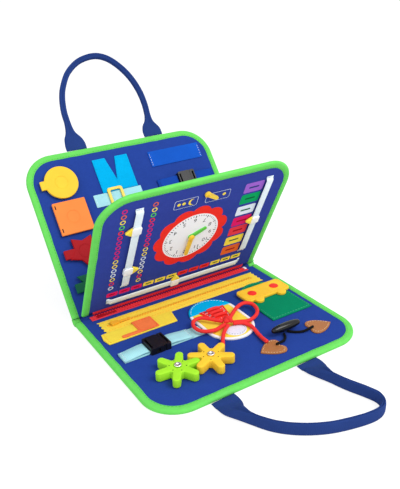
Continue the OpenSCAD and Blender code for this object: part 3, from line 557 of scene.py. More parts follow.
class Piece:
    """A mesh in the making: plates, swept bands, tubes and stitches in one panel's places."""

    def __init__(self, name, place):
        self.name, self.place = name, place
        self.mesh = bmesh.new()
        self.uv = self.mesh.loops.layers.uv.new("UVMap")
        self.materials = []
        self.filling = 0

    def use(self, material):
        """What is made next is of this material."""
        if material not in self.materials:
            self.materials.append(material)
        self.filling = self.materials.index(material)
        return self

    def row(self, spots, h):
        """New points at spots of the panel, all at one height."""
        return [self.mesh.verts.new(self.place(x, y, h)) for x, y in spots]

    def face(self, vertices, spots):
        """A face whose spots say where its weave lies; one without an area, or made before, is left out."""
        if len(set(vertices)) < 3:
            return
        try:
            made = self.mesh.faces.new(vertices)
        except ValueError:
            return
        made.smooth = True
        made.material_index = self.filling
        for loop, spot in zip(made.loops, spots):
            loop[self.uv].uv = (spot[0] * MM, spot[1] * MM)

    def wall(self, lower, upper, spots, next_spots):
        """Faces between two closed rows of points."""
        for i in range(len(lower)):
            j = (i + 1) % len(lower)
            corners = [spots[i], spots[j], next_spots[j], next_spots[i]]
            self.face([lower[i], lower[j], upper[j], upper[i]], corners)

    def plate(
        self, outline, low, high, soft=0.5, wave=0.0, grid=0.0, holes=(), step=3.0, crown=0.0, steps=3
    ):
        """A cut shape between two heights, with edges of a soft radius.

        wave makes its face uneven at the points of a grid, and crown swells its middle. The outline's
        points are a step apart at most, and each edge is rounded in some steps.
        """
        outline = refined(outline, step)
        area = sum(a[0] * b[1] - b[0] * a[1] for a, b in zip(outline, outline[1:] + outline[:1]))
        if area < 0:
            outline.reverse()
        normals = inward(outline)
        soft = min(soft, (high - low) / 2)
        out = [math.pi / 2 * (1 - i / steps) for i in range(steps + 1)]
        back_in = [math.pi / 2 * i / steps for i in range(steps + 1)]
        profile = [(soft * (1 - math.cos(a)), low + soft - soft * math.sin(a)) for a in out]
        profile += [(soft * (1 - math.cos(a)), high - soft + soft * math.sin(a)) for a in back_in]
        rings = []
        for offset, h in profile:
            spots = [(p[0] + n.x * offset, p[1] + n.y * offset) for p, n in zip(outline, normals)]
            rings.append((spots, self.row(spots, h)))
        for (spots, ring), (next_spots, above) in zip(rings, rings[1:]):
            self.wall(ring, above, spots, next_spots)
        loops = [list(reversed(refined(hole, step))) for hole in holes]
        cut = [(self.row(loop, low), self.row(loop, high)) for loop in loops]
        for loop, (lower, upper) in zip(loops, cut):
            self.wall(lower, upper, loop, loop)
        self.cap(rings[-1], loops, [upper for _, upper in cut], high, wave, grid, crown, False)
        self.cap(rings[0], loops, [lower for lower, _ in cut], low, 0.0, 0.0, 0.0, True)
        return self

    def cap(self, ring, loops, cut, h, wave, grid, crown, under):
        """Closes a plate at one height, round its holes, with points between for an uneven face."""
        rim = ring[0]
        spots, vertices = list(rim), list(ring[1])
        edges = [(i, (i + 1) % len(rim)) for i in range(len(rim))]
        for loop, found in zip(loops, cut):
            base = len(spots)
            edges += [(base + i, base + (i + 1) % len(loop)) for i in range(len(loop))]
            spots += loop
            vertices += found

        def covered(spot):
            return inside(spot, rim) and not any(inside(spot, loop) for loop in loops)

        known = len(spots)
        if grid:
            spots += [spot for spot in lattice(rim, grid) if covered(spot)]
        placed, _, faces, origin, _, _ = delaunay_2d_cdt([Vector(p) for p in spots], edges, [], 1, 1e-5)
        made = []
        for spot, sources in zip(placed, origin):
            given = [i for i in sources if i < known]
            if given:
                made.append(vertices[given[0]])
                continue
            slow = noise.noise(Vector((spot.x, spot.y, h * 7)) / SLOW_WAVE)
            fine = noise.noise(Vector((spot.x, spot.y, h * 3)) / FINE_WAVE)
            lift = wave * (slow + FINE_SHARE * fine)
            if crown:
                edge = min((Vector(p) - spot).length for p in rim)
                lift += crown * (1 - math.exp(-edge / CROWN_EDGE))
            made.append(self.mesh.verts.new(self.place(spot.x, spot.y, h + lift)))
        for corners in faces:
            middle = sum((placed[i] for i in corners), Vector((0, 0))) / len(corners)
            if covered(middle):
                order = list(reversed(corners)) if under else list(corners)
                self.face([made[i] for i in order], [placed[i] for i in order])

    def sweep(self, rings, spots):
        """A band through rings of points in metres; spots give each ring's distance along and its girth."""
        made = [[self.mesh.verts.new(p) for p in ring] for ring in rings]
        n = len(made[0])
        for near, far, (run, girth), (next_run, _) in zip(made, made[1:], spots, spots[1:]):
            for i in range(n):
                j = (i + 1) % n
                u, v = girth * i / n, girth * (i + 1) / n
                corners = [(run, u), (run, v), (next_run, v), (next_run, u)]
                self.face([near[i], near[j], far[j], far[i]], corners)
        for end in (list(reversed(made[0])), made[-1]):
            self.face(end, [(0, 0)] * n)
        return self

    def tube(self, route, r, sides=14, flat=1.0, taper=0):
        """A round cord along a route; flat below 1 presses it down and taper rounds its ends."""
        points = [self.place(*p) for p in route]
        up = (self.place(0, 0, 1) - self.place(0, 0, 0)).normalized()
        angles = [2 * math.pi * j / sides for j in range(sides)]
        rings, spots, run = [], [], 0.0
        for i, p in enumerate(points):
            t = (points[min(i + 1, len(points) - 1)] - points[max(i - 1, 0)]).normalized()
            side = t.cross(up).normalized()
            lift = side.cross(t)
            end = min(i, len(points) - 1 - i)
            share = math.sqrt(min(1.0, (end + 0.4) / taper)) if taper and end < taper else 1.0
            size = MM * r * share
            rings.append([p + size * (side * math.cos(a) + lift * flat * math.sin(a)) for a in angles])
            run += (p - points[i - 1]).length / MM if i else 0.0
            spots.append((run, 2 * math.pi * r))
        return self.sweep(rings, spots)

    def stitch(self, line, h, closed=False, length=2.6, gap=1.6, thick=0.55):
        """A row of thread stitches along a line of the panel."""
        points = [Vector(p) for p in refined(line, 0.8, closed)]
        if closed:
            points.append(points[0])
        run, start = 0.0, None
        for before, here in zip(points, points[1:]):
            run += (here - before).length
            phase = run % (length + gap)
            if phase < length and start is None:
                start = before
            elif phase >= length and start is not None:
                self.thread(start, before, h, thick)
                start = None
        return self

    def thread(self, a, b, h, thick):
        """One stitch between two spots, thinner where it dips into the cloth."""
        along = (b - a).normalized() if (b - a).length > 1e-6 else Vector((1, 0))
        across = Vector((-along.y, along.x))
        rings = []
        for t, share in ((0.0, 0.45), (0.25, 1.0), (0.75, 1.0), (1.0, 0.45)):
            spot = a.lerp(b, t)
            ring = []
            for k in range(6):
                angle = math.pi * k / 3
                s = spot + across * (math.cos(angle) * thick / 2 * share)
                ring.append(self.place(s.x, s.y, h + thick * 0.5 * share * (math.sin(angle) + 0.5)))
            rings.append(ring)
        self.sweep(rings, [(3.0 * i, 2.0) for i in range(4)])

    def done(self, body, replaces, slot):
        """Links the finished mesh, and says which body carries it and which solids it stands for."""
        data = bpy.data.meshes.new(self.name)
        bmesh.ops.recalc_face_normals(self.mesh, faces=self.mesh.faces)
        self.mesh.to_mesh(data)
        self.mesh.free()
        for material in self.materials:
            data.materials.append(material)
        made = bpy.data.objects.new(self.name, data)
        bpy.context.scene.collection.objects.link(made)
        if body:
            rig.ride(made, body)
        if replaces:
            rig.replaces(made, *replaces)
        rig.slot(made, slot)
        return made


def finish_node(node, material, bevel=0.0):
    """Gives a kept solid its material, and rounds its edges for a bevel in millimetres."""
    solid = NODES[node]
    solid.data.materials.clear()
    solid.data.materials.append(material)
    for polygon in solid.data.polygons:
        polygon.material_index = 0
    if bevel:
        weld = solid.modifiers.new("Weld", "WELD")
        weld.merge_threshold = 1e-6
        round_edges = solid.modifiers.new("Round edges", "BEVEL")
        round_edges.width = bevel * MM
        round_edges.segments = 3
        round_edges.limit_method = "ANGLE"
        round_edges.angle_limit = math.radians(40)
        shading = solid.modifiers.new("Weighted normals", "WEIGHTED_NORMAL")
        shading.keep_sharp = True


def colour(name, red, green, blue):
    """A colour that a user can change, given from 0 to 255."""
    return bpy.props.FloatVectorProperty(
        name=name,
        description=f"Colour of the {name.lower()}",
        default=linear(red, green, blue),
        size=3,
        subtype="COLOR",
        min=0.0,
        max=1.0,
    )


def size_setting(name, description, metres):
    """A length that a user can change."""
    return bpy.props.FloatProperty(name=name, description=description, default=metres, unit="LENGTH")


def angle_setting(name, description, degrees):
    """An angle that a user can change."""
    turn = math.radians(degrees)
    return bpy.props.FloatProperty(name=name, description=description, default=turn, subtype="ANGLE")


class BookColours(bpy.types.PropertyGroup):
    """Colours of the book's felts, tapes, plastics and prints."""

    blue: colour("Cover felt", 38, 65, 145)
    print: colour("Page felt", 52, 67, 151)
    lime: colour("Edge binding", 104, 207, 92)
    # The binding's stitches are darker than the tape: partly thread, partly painted shade of the stitched groove.
    lime_thread: colour("Binding thread", 66, 172, 56)
    navy: colour("Handles", 38, 62, 125)
    yellow: colour("Yellow felt", 255, 213, 72)
    lemon: colour("Yellow print and markers", 252, 224, 76)
    gold: colour("Yellow foam", 253, 201, 54)
    amber: colour("Yellow zip chain", 246, 176, 40)
    orange: colour("Orange felt", 255, 138, 62)
    rust: colour("Orange print", 230, 104, 46)
    tangerine: colour("Pouch patch", 255, 123, 69)
    red: colour("Red felt", 245, 52, 42)
    crimson: colour("Red zip", 234, 60, 72)
    maroon: colour("Red zip slider", 165, 18, 34)
    # The star's deep red is darkened further with painted shade, the shade that falls behind the page.
    ruby: colour("Red star", 168, 9, 22)
    sky: colour("Sky blue felt", 5, 170, 224)
    cyan: colour("Pale webbing", 168, 225, 237)
    ribbon: colour("Slider ribbons", 226, 238, 250)
    band: colour("Blue band", 22, 88, 194)
    # A darker copy of the band's blue: painted shade on the clasp's loops, which are of the band's webbing.
    strap: colour("Clasp webbing", 22, 70, 166)
    gear: colour("Green gear", 164, 232, 48)
    green: colour("Garage felt", 9, 130, 91)
    mint: colour("Garage thread", 72, 174, 130)
    pine: colour("Green snap shape", 10, 92, 62)
    brown: colour("Leather", 184, 115, 60)
    tan: colour("Leather thread", 240, 215, 175)
    lace: colour("Lace", 244, 58, 56)
    black: colour("Black plastic", 14, 14, 17)
    silver: colour("Rivets", 238, 238, 240)
    nickel: colour("Gear rivets", 250, 252, 246)
    white: colour("White felt and print", 250, 251, 255)
    lilac: colour("Toe cap", 222, 222, 246)
    magenta: colour("Magenta print", 226, 30, 105)
    purple: colour("Purple print", 158, 100, 205)
    leaf: colour("Green print and hour hand", 95, 205, 75)
    jade: colour("Green block", 10, 165, 95)
    board: colour("Stiffening board", 160, 132, 96)


class BookSizes(bpy.types.PropertyGroup):
    """Sizes of the soft finish that the solids leave open."""

    wave: bpy.props.FloatProperty(
        name="Felt unevenness",
        description="Height of the felt's slow waves in millimetres",
        default=0.14,
        min=0.0,
        max=0.4,
    )
    lace_diameter: size_setting("Lace", "Diameter of the shoelace", 0.005)
    cord_diameter: size_setting("Toggle cord", "Diameter of the toggle's cord", 0.0032)
    camera_place: bpy.props.FloatVectorProperty(
        name="Camera",
        description="Place of the camera",
        default=(-0.3757, -0.5804, 0.4448),
        subtype="TRANSLATION",
    )
    camera_azimuth: angle_setting("Azimuth", "Turn of the camera round the book", -31.37)
    camera_elevation: angle_setting("Elevation", "Tilt of the camera above the table", 24.91)
    camera_roll: angle_setting("Roll", "Roll of the camera about its view", -2.01)


def look(kind, key):
    """The finish of one kind in one of the book's colours, made once."""
    name = f"{kind.__name__}_finish_{key}"
    return bpy.data.materials.get(name) or kind(name, tuple(getattr(bpy.context.scene.book_colours, key)))


class BookOperator:
    """What the book's operators share."""

    bl_options = {"REGISTER", "UNDO"}

    @property
    def wave(self):
        """Height of the felt's slow waves in millimetres."""
        return bpy.context.scene.book_sizes.wave


# The studio, in metres and watts: each lamp's place, size and power, and what the lamps point at.
LAMPS = (("key_light", (0.7, -1.2, 1.7), 1.1, 27.5), ("fill_light", (-1.3, -0.9, 1.0), 1.6, 8.0))
LAMP_AIM = Vector((0.0, 0.0, 0.08))
SKY_LIGHT = 0.74
FLOOR_HALF, FLOOR_Z = 12.0, -0.0002
FLOOR_GLOW, FLOOR_GLOW_SHARE = 1.3, 0.6
LENS, SENSOR_HEIGHT = 46.22, 36.0
WHITE = (1.0, 1.0, 1.0, 1.0)


class BOOK_OT_stage(BookOperator, bpy.types.Operator):
    """Sets up the camera, the pale floor and the soft studio light"""

    bl_idname = "book.stage"
    bl_label = "Stage"

    def execute(self, context):
        self.camera(context)
        self.floor(context)
        for lamp in LAMPS:
            self.light(context, *lamp)
        self.world(context)
        context.scene.view_settings.view_transform = "Standard"
        return {"FINISHED"}

    def camera(self, context):
        """A camera that looks from its place along its azimuth and elevation, rolled about its view."""
        sizes = context.scene.book_sizes
        a, e, r = sizes.camera_azimuth, sizes.camera_elevation, sizes.camera_roll
        away = Vector((math.sin(a) * math.cos(e), -math.cos(a) * math.cos(e), math.sin(e)))
        right = (-away).cross(Vector((0, 0, 1))).normalized()
        up = right.cross(-away)
        across = math.cos(r) * right + math.sin(r) * up
        above = -math.sin(r) * right + math.cos(r) * up
        data = bpy.data.cameras.new("photo_camera")
        data.sensor_fit = "VERTICAL"
        data.sensor_height, data.lens = SENSOR_HEIGHT, LENS
        data.clip_start, data.clip_end = 0.02, 50.0
        made = bpy.data.objects.new("photo_camera", data)
        rows = [(across[i], above[i], away[i], sizes.camera_place[i]) for i in range(3)]
        made.matrix_world = Matrix([*rows, (0, 0, 0, 1)])
        context.scene.collection.objects.link(made)
        context.scene.camera = made

    def floor(self, context):
        """A pale floor that keeps the book's shadow and looks white to the camera."""
        square = rectangle(-FLOOR_HALF, -FLOOR_HALF, FLOOR_HALF, FLOOR_HALF)
        data = bpy.data.meshes.new("floor")
        data.from_pydata([(x, y, FLOOR_Z) for x, y in square], [], [(0, 1, 2, 3)])
        made = bpy.data.objects.new("floor", data)
        context.scene.collection.objects.link(made)
        shade = Shade("floor_paper", 0.1, **{"Base Color": (0.86, 0.86, 0.87, 1.0), "Roughness": 0.9})
        glow = shade.add("ShaderNodeEmission", {}, {"Color": WHITE, "Strength": FLOOR_GLOW})
        layers = {0: shade.seen() * FLOOR_GLOW_SHARE, 1: shade.take(shade.shader), 2: shade.take(glow)}
        both = shade.add("ShaderNodeMixShader", {}, layers)
        shade.tree.links.new(both.outputs[0], shade.output.inputs["Surface"])
        data.materials.append(shade.material)
        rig.stage(made)

    def light(self, context, name, place, size, power):
        """A square lamp that points at the book."""
        data = bpy.data.lights.new(name, "AREA")
        data.size, data.energy = size, power
        made = bpy.data.objects.new(name, data)
        made.location = place
        made.rotation_mode = "QUATERNION"
        made.rotation_quaternion = (LAMP_AIM - Vector(place)).to_track_quat("-Z", "Y")
        context.scene.collection.objects.link(made)

    def world(self, context):
        """Soft light from all round, behind which a view shows plain white."""
        world = bpy.data.worlds.new("studio")
        sky = Nodes(world)
        soft = sky.add("ShaderNodeBackground", {}, {"Color": WHITE, "Strength": SKY_LIGHT})
        plain = sky.add("ShaderNodeBackground", {}, {"Color": WHITE, "Strength": 1.0})
        both = sky.add("ShaderNodeMixShader", {}, {0: sky.seen(), 1: sky.take(soft), 2: sky.take(plain)})
        sky.add("ShaderNodeOutputWorld", {}, {"Surface": sky.take(both)})
        context.scene.world = world


# From here on, places are millimetres on a panel: along the fold, away from it and above its felt.

# Routes of the lace and the toggle's cords on the front cover, from the knot or the patch outwards.
RIGHT_LOOP = [
    (17, 121.5, 8.5), (29, 112, 9), (43, 103, 9), (57, 99, 8), (65, 107, 7),
    (62, 121, 6), (52, 131, 6), (38, 136, 6), (26, 133, 7), (17, 128.5, 7),
]
LEFT_LOOP = [
    (7, 121, 8), (-3, 110, 9), (-13, 99, 9), (-24, 99, 8), (-30, 111, 7),
    (-26, 125, 7), (-12, 131, 7), (-2, 129, 7), (6, 127, 7),
]
RIGHT_END = [
    (16, 131, 6.8), (26, 136, 6.8), (32, 145, 5.6), (32, 154, 5),
    (31, 165, 2.9), (29, 176, 3.6), (28, 186, 4.6),
]
LEFT_END = [
    (8, 131, 6.8), (1, 136, 6.8), (-6, 142, 6.2),
    (-12, 149, 5.5), (-17, 156, 4), (-20, 161, 3),
]
RIGHT_CORD = [
    (98, 191, 3.6), (90, 192, 3.6), (83, 191, 2.2),
    (76, 188, 1.8), (70, 183, 1.8), (66, 178, 1.8),
]
LEFT_CORD = [(35, 196, 3.6), (46, 195, 3.6), (51, 192, 2.2), (56, 187, 1.8), (59, 181, 1.8)]


class BOOK_OT_cords(BookOperator, bpy.types.Operator):
    """Lays the shoelace and the toggle's cords"""

    bl_idname = "book.cords"
    bl_label = "Lace and cords"

    def execute(self, context):
        sizes = context.scene.book_sizes
        lace, black = look(braid, "lace"), look(braid, "black")
        for name, route, node, end in (
            ("lace_right_loop", RIGHT_LOOP, "lace_loops", "object"),
            ("lace_left_loop", LEFT_LOOP, "lace_loops", "object"),
            ("lace_right_end", RIGHT_END, "lace_ends", "bare"),
            ("lace_left_end", LEFT_END, "lace_ends", "bare"),
        ):
            self.cord(name, route, sizes.lace_diameter, lace, node, "red_lace", end)
        for name, route in (("toggle_right_cord", RIGHT_CORD), ("toggle_left_cord", LEFT_CORD)):
            self.cord(name, route, sizes.cord_diameter, black, "toggle_cords", "black_cord", "object")
        return {"FINISHED"}

    def cord(self, name, route, diameter, material, node, slot, far_end):
        """One cord along its route, as long as the route is."""
        line = smooth_route(route)
        piece = Piece(name, front).use(material).tube(line, diameter / MM / 2)
        made = piece.done("front_cover", [node], slot)
        path = [front(*p) for p in line]
        length = sum((there - here).length for here, there in zip(path, path[1:]))
        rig.cord(
            made, exit=path[0], length=length, diameter=diameter, far_end=far_end,
            stiffness="limp", lay="loose", path=path,
        )


class BOOK_OT_covers(BookOperator, bpy.types.Operator):
    """Makes the felt faces of both covers and of the page"""

    bl_idname = "book.covers"
    bl_label = "Felt panels"

    def execute(self, context):
        corner = CORNER_R - FELT_INSET
        outline = panel_outline(COVER_W - 2 * FELT_INSET, COVER_START, COVER_L - FELT_INSET, corner)
        for name, place, body, node in (
            ("front_cover_felt", front, "front_cover", "front_felts"),
            ("back_cover_felt", back, "back_cover", "back_felts"),
        ):
            piece = Piece(name, place).use(look(felt, "blue"))
            piece.plate(outline, 0.1 - COVER_T, -0.06, 0.4, self.wave * 0.35, FELT_GRID)
            piece.done(body, [node], "blue_felt")
        piece = Piece("page_felt", page).use(look(felt, "print"))
        outline = panel_outline(PAGE_W - 2 * FELT_INSET, PAGE_FELT_START, PAGE_L - FELT_INSET, corner)
        piece.plate(outline, -PAGE_T, 0, 0.4, self.wave * 0.15, FELT_GRID)
        piece.done("page", ["page_felts"], "page_print")
        for node in ("front_stiffener", "back_stiffener", "page_stiffener"):
            finish_node(node, look(card, "board"))
        return {"FINISHED"}


def edge_path(width, start, end, r):
    """The three bound edges of a panel, from the left end of the fold to the right, and the ways inward."""
    half = width / 2
    arc_left = list(reversed(circle(r - half, end - r, r, 14, 90, 180)))
    arc_right = list(reversed(circle(half - r, end - r, r, 14, 0, 90)))
    path = refined([(-half, start), *arc_left, *arc_right, (half, start)], 3.0, False)
    sides = []
    for i in range(len(path)):
        a, b = path[max(i - 1, 0)], path[min(i + 1, len(path) - 1)]
        t = Vector((b[0] - a[0], b[1] - a[1])).normalized()
        sides.append(Vector((t.y, -t.x)))
    return path, sides


class BOOK_OT_bindings(BookOperator, bpy.types.Operator):
    """Folds the lime tape round the edges of the covers and the page and sews it down"""

    bl_idname = "book.bindings"
    bl_label = "Edge bindings"

    def execute(self, context):
        cover = (COVER_W, COVER_START, COVER_L, -COVER_T, 0.6)
        self.bind("front", front, "front_cover", *cover)
        self.bind("back", back, "back_cover", *cover)
        self.bind("page", page, "page", PAGE_W, PAGE_START, PAGE_L, -PAGE_T - 0.5, 0.5)
        return {"FINISHED"}

    def bind(self, panel, place, body, width, start, end, low, high):
        """One panel's tape; its section runs from the top's inner edge round the rim to the one below."""
        path, sides = edge_path(width, start, end, CORNER_R)
        t, w = high - low, BINDING_W
        section = [
            (w, high - 0.4), (w - 0.5, high - 0.05), (w * 0.65, high + 0.25), (w * 0.35, high + 0.3),
            (1.8, high + 0.05), (0.7, high - 0.6), (0.1, high - t * 0.35), (0.0, (high + low) / 2),
            (0.1, low + t * 0.3), (0.7, low + 0.4), (1.8, low + 0.02), (w - 0.5, low), (w, low + 0.3),
        ]
        rings, spots, run = [], [], 0.0
        for i, (p, side) in enumerate(zip(path, sides)):
            run += math.dist(p, path[i - 1]) if i else 0.0
            ring = []
            for k, (o, h) in enumerate(section):
                rough = 0.22 * noise.noise(Vector((run / 9.0, k * 0.6, 3.1)))
                deep = o + (0.5 * noise.noise(Vector((run / 14.0, 7.7, 0.0))) if k in (0, 1) else 0.0)
                lift = rough if 1 < k < 6 else 0.0
                ring.append(place(p[0] + side.x * deep, p[1] + side.y * deep, h + lift))
            rings.append(ring)
            spots.append((run, 2 * w + t))
        piece = Piece(f"{panel}_edge_binding", place).use(look(tape, "lime")).sweep(rings, spots)
        line = [(p[0] + s.x * (w - 1.8), p[1] + s.y * (w - 1.8)) for p, s in zip(path, sides)]
        # Stitches along the tape, whose darker green is partly painted shade of the groove they sew.
        piece.use(look(tape, "lime_thread")).stitch(line, high - 0.05)
        piece.done(body, [f"{panel}_binding"], "binding_tape")


# The fold runs from under the front cover, round the hinge line, to the back of the back cover.
FOLD_START, FOLD_END, FOLD_STEPS = -3.0, 9.7, 16
# Along it, on either side, its felt ends and its binding starts here.
FELT_END, BOUND_AT = 140.0, 139.5


class BOOK_OT_fold(BookOperator, bpy.types.Operator):
    """Makes the felt fold between the covers, which bends as the book opens"""

    bl_idname = "book.fold"
    bl_label = "Fold"

    def execute(self, context):
        half, blue, lime = COVER_W / 2, look(felt, "blue"), look(tape, "lime")
        self.strip("fold_felt", blue, -FELT_END, FELT_END, 0.05, 1.5, "cover_fold", "blue_felt")
        self.strip("fold_left_binding", lime, -half, -BOUND_AT, 0.0, 2.2, "fold_binding", "binding_tape")
        self.strip("fold_right_binding", lime, BOUND_AT, half, 0.0, 2.2, "fold_binding", "binding_tape")
        return {"FINISHED"}

    def strip(self, name, material, left, right, low, high, node, slot):
        """A strip across the fold between two places along it, which bends with both covers."""
        columns = max(4, int((right - left) / 6))
        xs = [left + (right - left) * i / columns for i in range(columns + 1)]
        rings, spots = [], []
        for k in range(FOLD_STEPS + 1):
            s = FOLD_START + (FOLD_END - FOLD_START) * k / FOLD_STEPS
            under = [self.around(x, s, low) for x in xs]
            rings.append(under + [self.around(x, s, high) for x in reversed(xs)])
            spots.append((s, 2 * (right - left)))
        made = Piece(name, front).use(material).sweep(rings, spots).done(None, [node], slot)
        start, end = self.around(0, FOLD_START, 0), self.around(0, FOLD_END, 0)
        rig.blend(made, "front_cover", "back_cover", start=start, end=end)

    def around(self, x, s, h):
        """Point of the fold a distance s along its outside from the lowest line, h in from it."""
        r = AXIS_H - h
        if s < 0:
            return Vector((x, FOLD_Y + s, h)) * MM
        turn = min(s / AXIS_H, BACK_TILT)
        rest = max(0.0, s - AXIS_H * BACK_TILT)
        y = FOLD_Y + r * math.sin(turn) + rest * math.cos(turn)
        z = AXIS_H - r * math.cos(turn) + rest * math.sin(turn)
        return Vector((x, y, z)) * MM


# Routes of the handles: along the edge, out from it, how flat the webbing lies and how far it is folded.
FRONT_ROUTE = [
    (-72, 0.6, 1, 0), (-72, 12, 1, 0), (-74, 24, 0.8, 0.35), (-73, 36, 0.4, 0.8), (-68, 54, 0, 1),
    (-56, 74, 0, 1), (-38, 91, 0, 1), (-14, 105, 0, 1), (14, 114, 0, 1), (40, 118, 0, 1),
    (56, 113, 0, 1), (62, 100, 0, 1), (58, 84, 0, 1), (51, 66, 0, 1), (46, 48, 0, 1),
    (45, 34, 0.4, 0.8), (46, 22, 0.8, 0.35), (48, 12, 1, 0), (48, 0.6, 1, 0),
]
BACK_ROUTE = [
    (-62, 0.6, 1, 0), (-62, 10, 1, 0), (-63, 20, 0.7, 0.5), (-63, 30, 0.2, 1), (-62, 46, 0, 1),
    (-61, 64, 0, 1), (-56, 86, 0, 1), (-48, 104, 0, 1), (-34, 124, 0, 1), (-12, 140, 0, 1),
    (14, 146, 0, 1), (34, 140, 0, 1), (50, 124, 0, 1), (62, 102, 0, 1), (68, 78, 0, 1),
    (69, 56, 0, 1), (67, 38, 0, 1), (65, 26, 0.2, 1), (64, 18, 0.7, 0.5), (64, 10, 1, 0), (64, 0.6, 1, 0),
]
# The webbing's width and thickness, and the width and height of the folded grips.
HANDLE_W, HANDLE_T = 31.0, 2.4
FRONT_GRIP, BACK_GRIP = (4.8, 15.0), (8.5, 8.5)
# The section's points and squareness, the sewn ends' place and how they are pressed and rise from there.
HANDLE_SIDES, SQUARENESS = 32, 0.6
SEWN_AT, PRESSED, RISE, RISE_RUN = 0.6, 0.33, 0.67, 6.0
# The crease along the grip, the pleats where the grip starts, and the webbing's unevenness.
CREASE_W, CREASE_SHARE = 0.2, 0.3
PLEAT_H, PLEAT_TURNS = 1.8, 7.0
WEBBING_WAVE = 0.25


def by_front(x, e, h):
    """Point on the table in front of the front cover's edge."""
    return Vector((x, FOLD_Y - COVER_L - e, h)) * MM


def by_back(x, e, h):
    """Point beyond the back cover's edge, in the middle of its thickness."""
    return back(x, COVER_L + e, h - COVER_T / 2)


class BOOK_OT_handles(BookOperator, bpy.types.Operator):
    """Folds the webbing of the two carrying handles"""

    bl_idname = "book.handles"
    bl_label = "Handles"

    def execute(self, context):
        self.handle("front_carry_handle", FRONT_ROUTE, by_front, FRONT_GRIP, True, "front_handle")
        self.handle("back_carry_handle", BACK_ROUTE, by_back, BACK_GRIP, False, "back_handle")
        return {"FINISHED"}

    def handle(self, name, route, place, grip, on_floor, node):
        """Webbing that is flat where it is sewn and folded lengthwise into a grip between its ends."""
        line = smooth_route(route, 5)
        grip_w, grip_h = grip
        rings, spots, run = [], [], 0.0
        for i, (x, e, flat, fold) in enumerate(line):
            a, b = line[max(i - 1, 0)], line[min(i + 1, len(line) - 1)]
            t = Vector((b[0] - a[0], b[1] - a[1])).normalized()
            side = Vector((t.y, -t.x))
            w = (grip_w + (HANDLE_W - grip_w) * max(0.0, flat)) / 2
            h = (HANDLE_T + (grip_h - HANDLE_T) * max(0.0, min(1.0, fold))) / 2
            h *= PRESSED + RISE * min(1.0, (e - SEWN_AT) / RISE_RUN)
            run += math.dist((x, e), (a[0], a[1])) if i else 0.0
            ring = []
            for k in range(HANDLE_SIDES):
                angle = 2 * math.pi * k / HANDLE_SIDES
                c, s = math.cos(angle), math.sin(angle)
                across = math.copysign(abs(c) ** SQUARENESS, c)
                tall = math.copysign(abs(s) ** SQUARENESS, s)
                z = h * tall
                if s > CREASE_W:
                    z -= CREASE_SHARE * grip_h * math.exp(-((across / CREASE_W) ** 2)) * min(1.0, fold)
                if s > 0:
                    z += PLEAT_H * math.sin(across * PLEAT_TURNS) * max(0.0, flat) * max(0.0, 1 - flat)
                    z += WEBBING_WAVE * noise.noise(Vector((run / 8.0, across * 1.5, tall)))
                if on_floor:
                    z = max(0.0, z + max(h, HANDLE_T / 2))
                ring.append(place(x + side.x * w * across, e + side.y * w * across, z))
            rings.append(ring)
            spots.append((run, 4 * (w + h)))
        piece = Piece(name, place).use(look(webbing, "navy")).sweep(rings, spots)
        piece.done(node, [node], "handle_webbing")


def band(piece, place, path, d, width, thick):
    """A flat strap whose edge view follows points along the fold and above the felt."""
    half, lip = width / 2, thick * 0.35
    top = [(lip - half, 1.0), (-half / 3, 1.0), (half / 3, 1.0), (half - lip, 1.0)]
    section = [(-half, 0.0), *top, (half, 0.0), (half - lip, -1.0), (lip - half, -1.0)]
    rings, spots, run = [], [], 0.0
    for i, (x, h) in enumerate(path):
        a, b = Vector(path[max(i - 1, 0)]), Vector(path[min(i + 1, len(path) - 1)])
        t = (b - a).normalized()
        n = Vector((-t.y, t.x)) * thick / 2
        run += math.dist((x, h), path[i - 1]) if i else 0.0
        rings.append([place(x + n.x * k, d + y, h + n.y * k) for y, k in section])
        spots.append((run, 2 * width))
    return piece.sweep(rings, spots)


# Where the buckles' halves meet, their straps, their bars from there, and the end of the flat tail.
BUCKLE_SPLIT, BUCKLE_D = -80.0, 112.0
CLASP_SPLIT, CLASP_D = 94.0, 153.5
STRAP_W, STRAP_T, STRAP_LOOP = 21.0, 1.4, 34.0
SOCKET_BAR, PLUG_BAR, BAR_GAP = 20.0, 8.0, 0.2
TAIL_END = -20.2


def loop_path(bar, seam, direction):
    """Edge view of a strap that leaves its seam, passes the buckle's bar and comes back."""
    low = [(seam, 0.75), (seam * 0.66 + bar * 0.34, 0.75), (bar * 0.8 + seam * 0.2, 0.8)]
    angles = [math.pi * k / 8 for k in range(9)]
    bend = [(bar + direction * (2.2 - 2.0 * math.sin(a)), 2.75 - 2.0 * math.cos(a)) for a in angles]
    high = [(bar * 0.75 + seam * 0.25, 4.5), (bar * 0.45 + seam * 0.55, 3.4), (bar * 0.2 + seam * 0.8, 2.5)]
    return low + bend + high + [(seam, 2.2)]


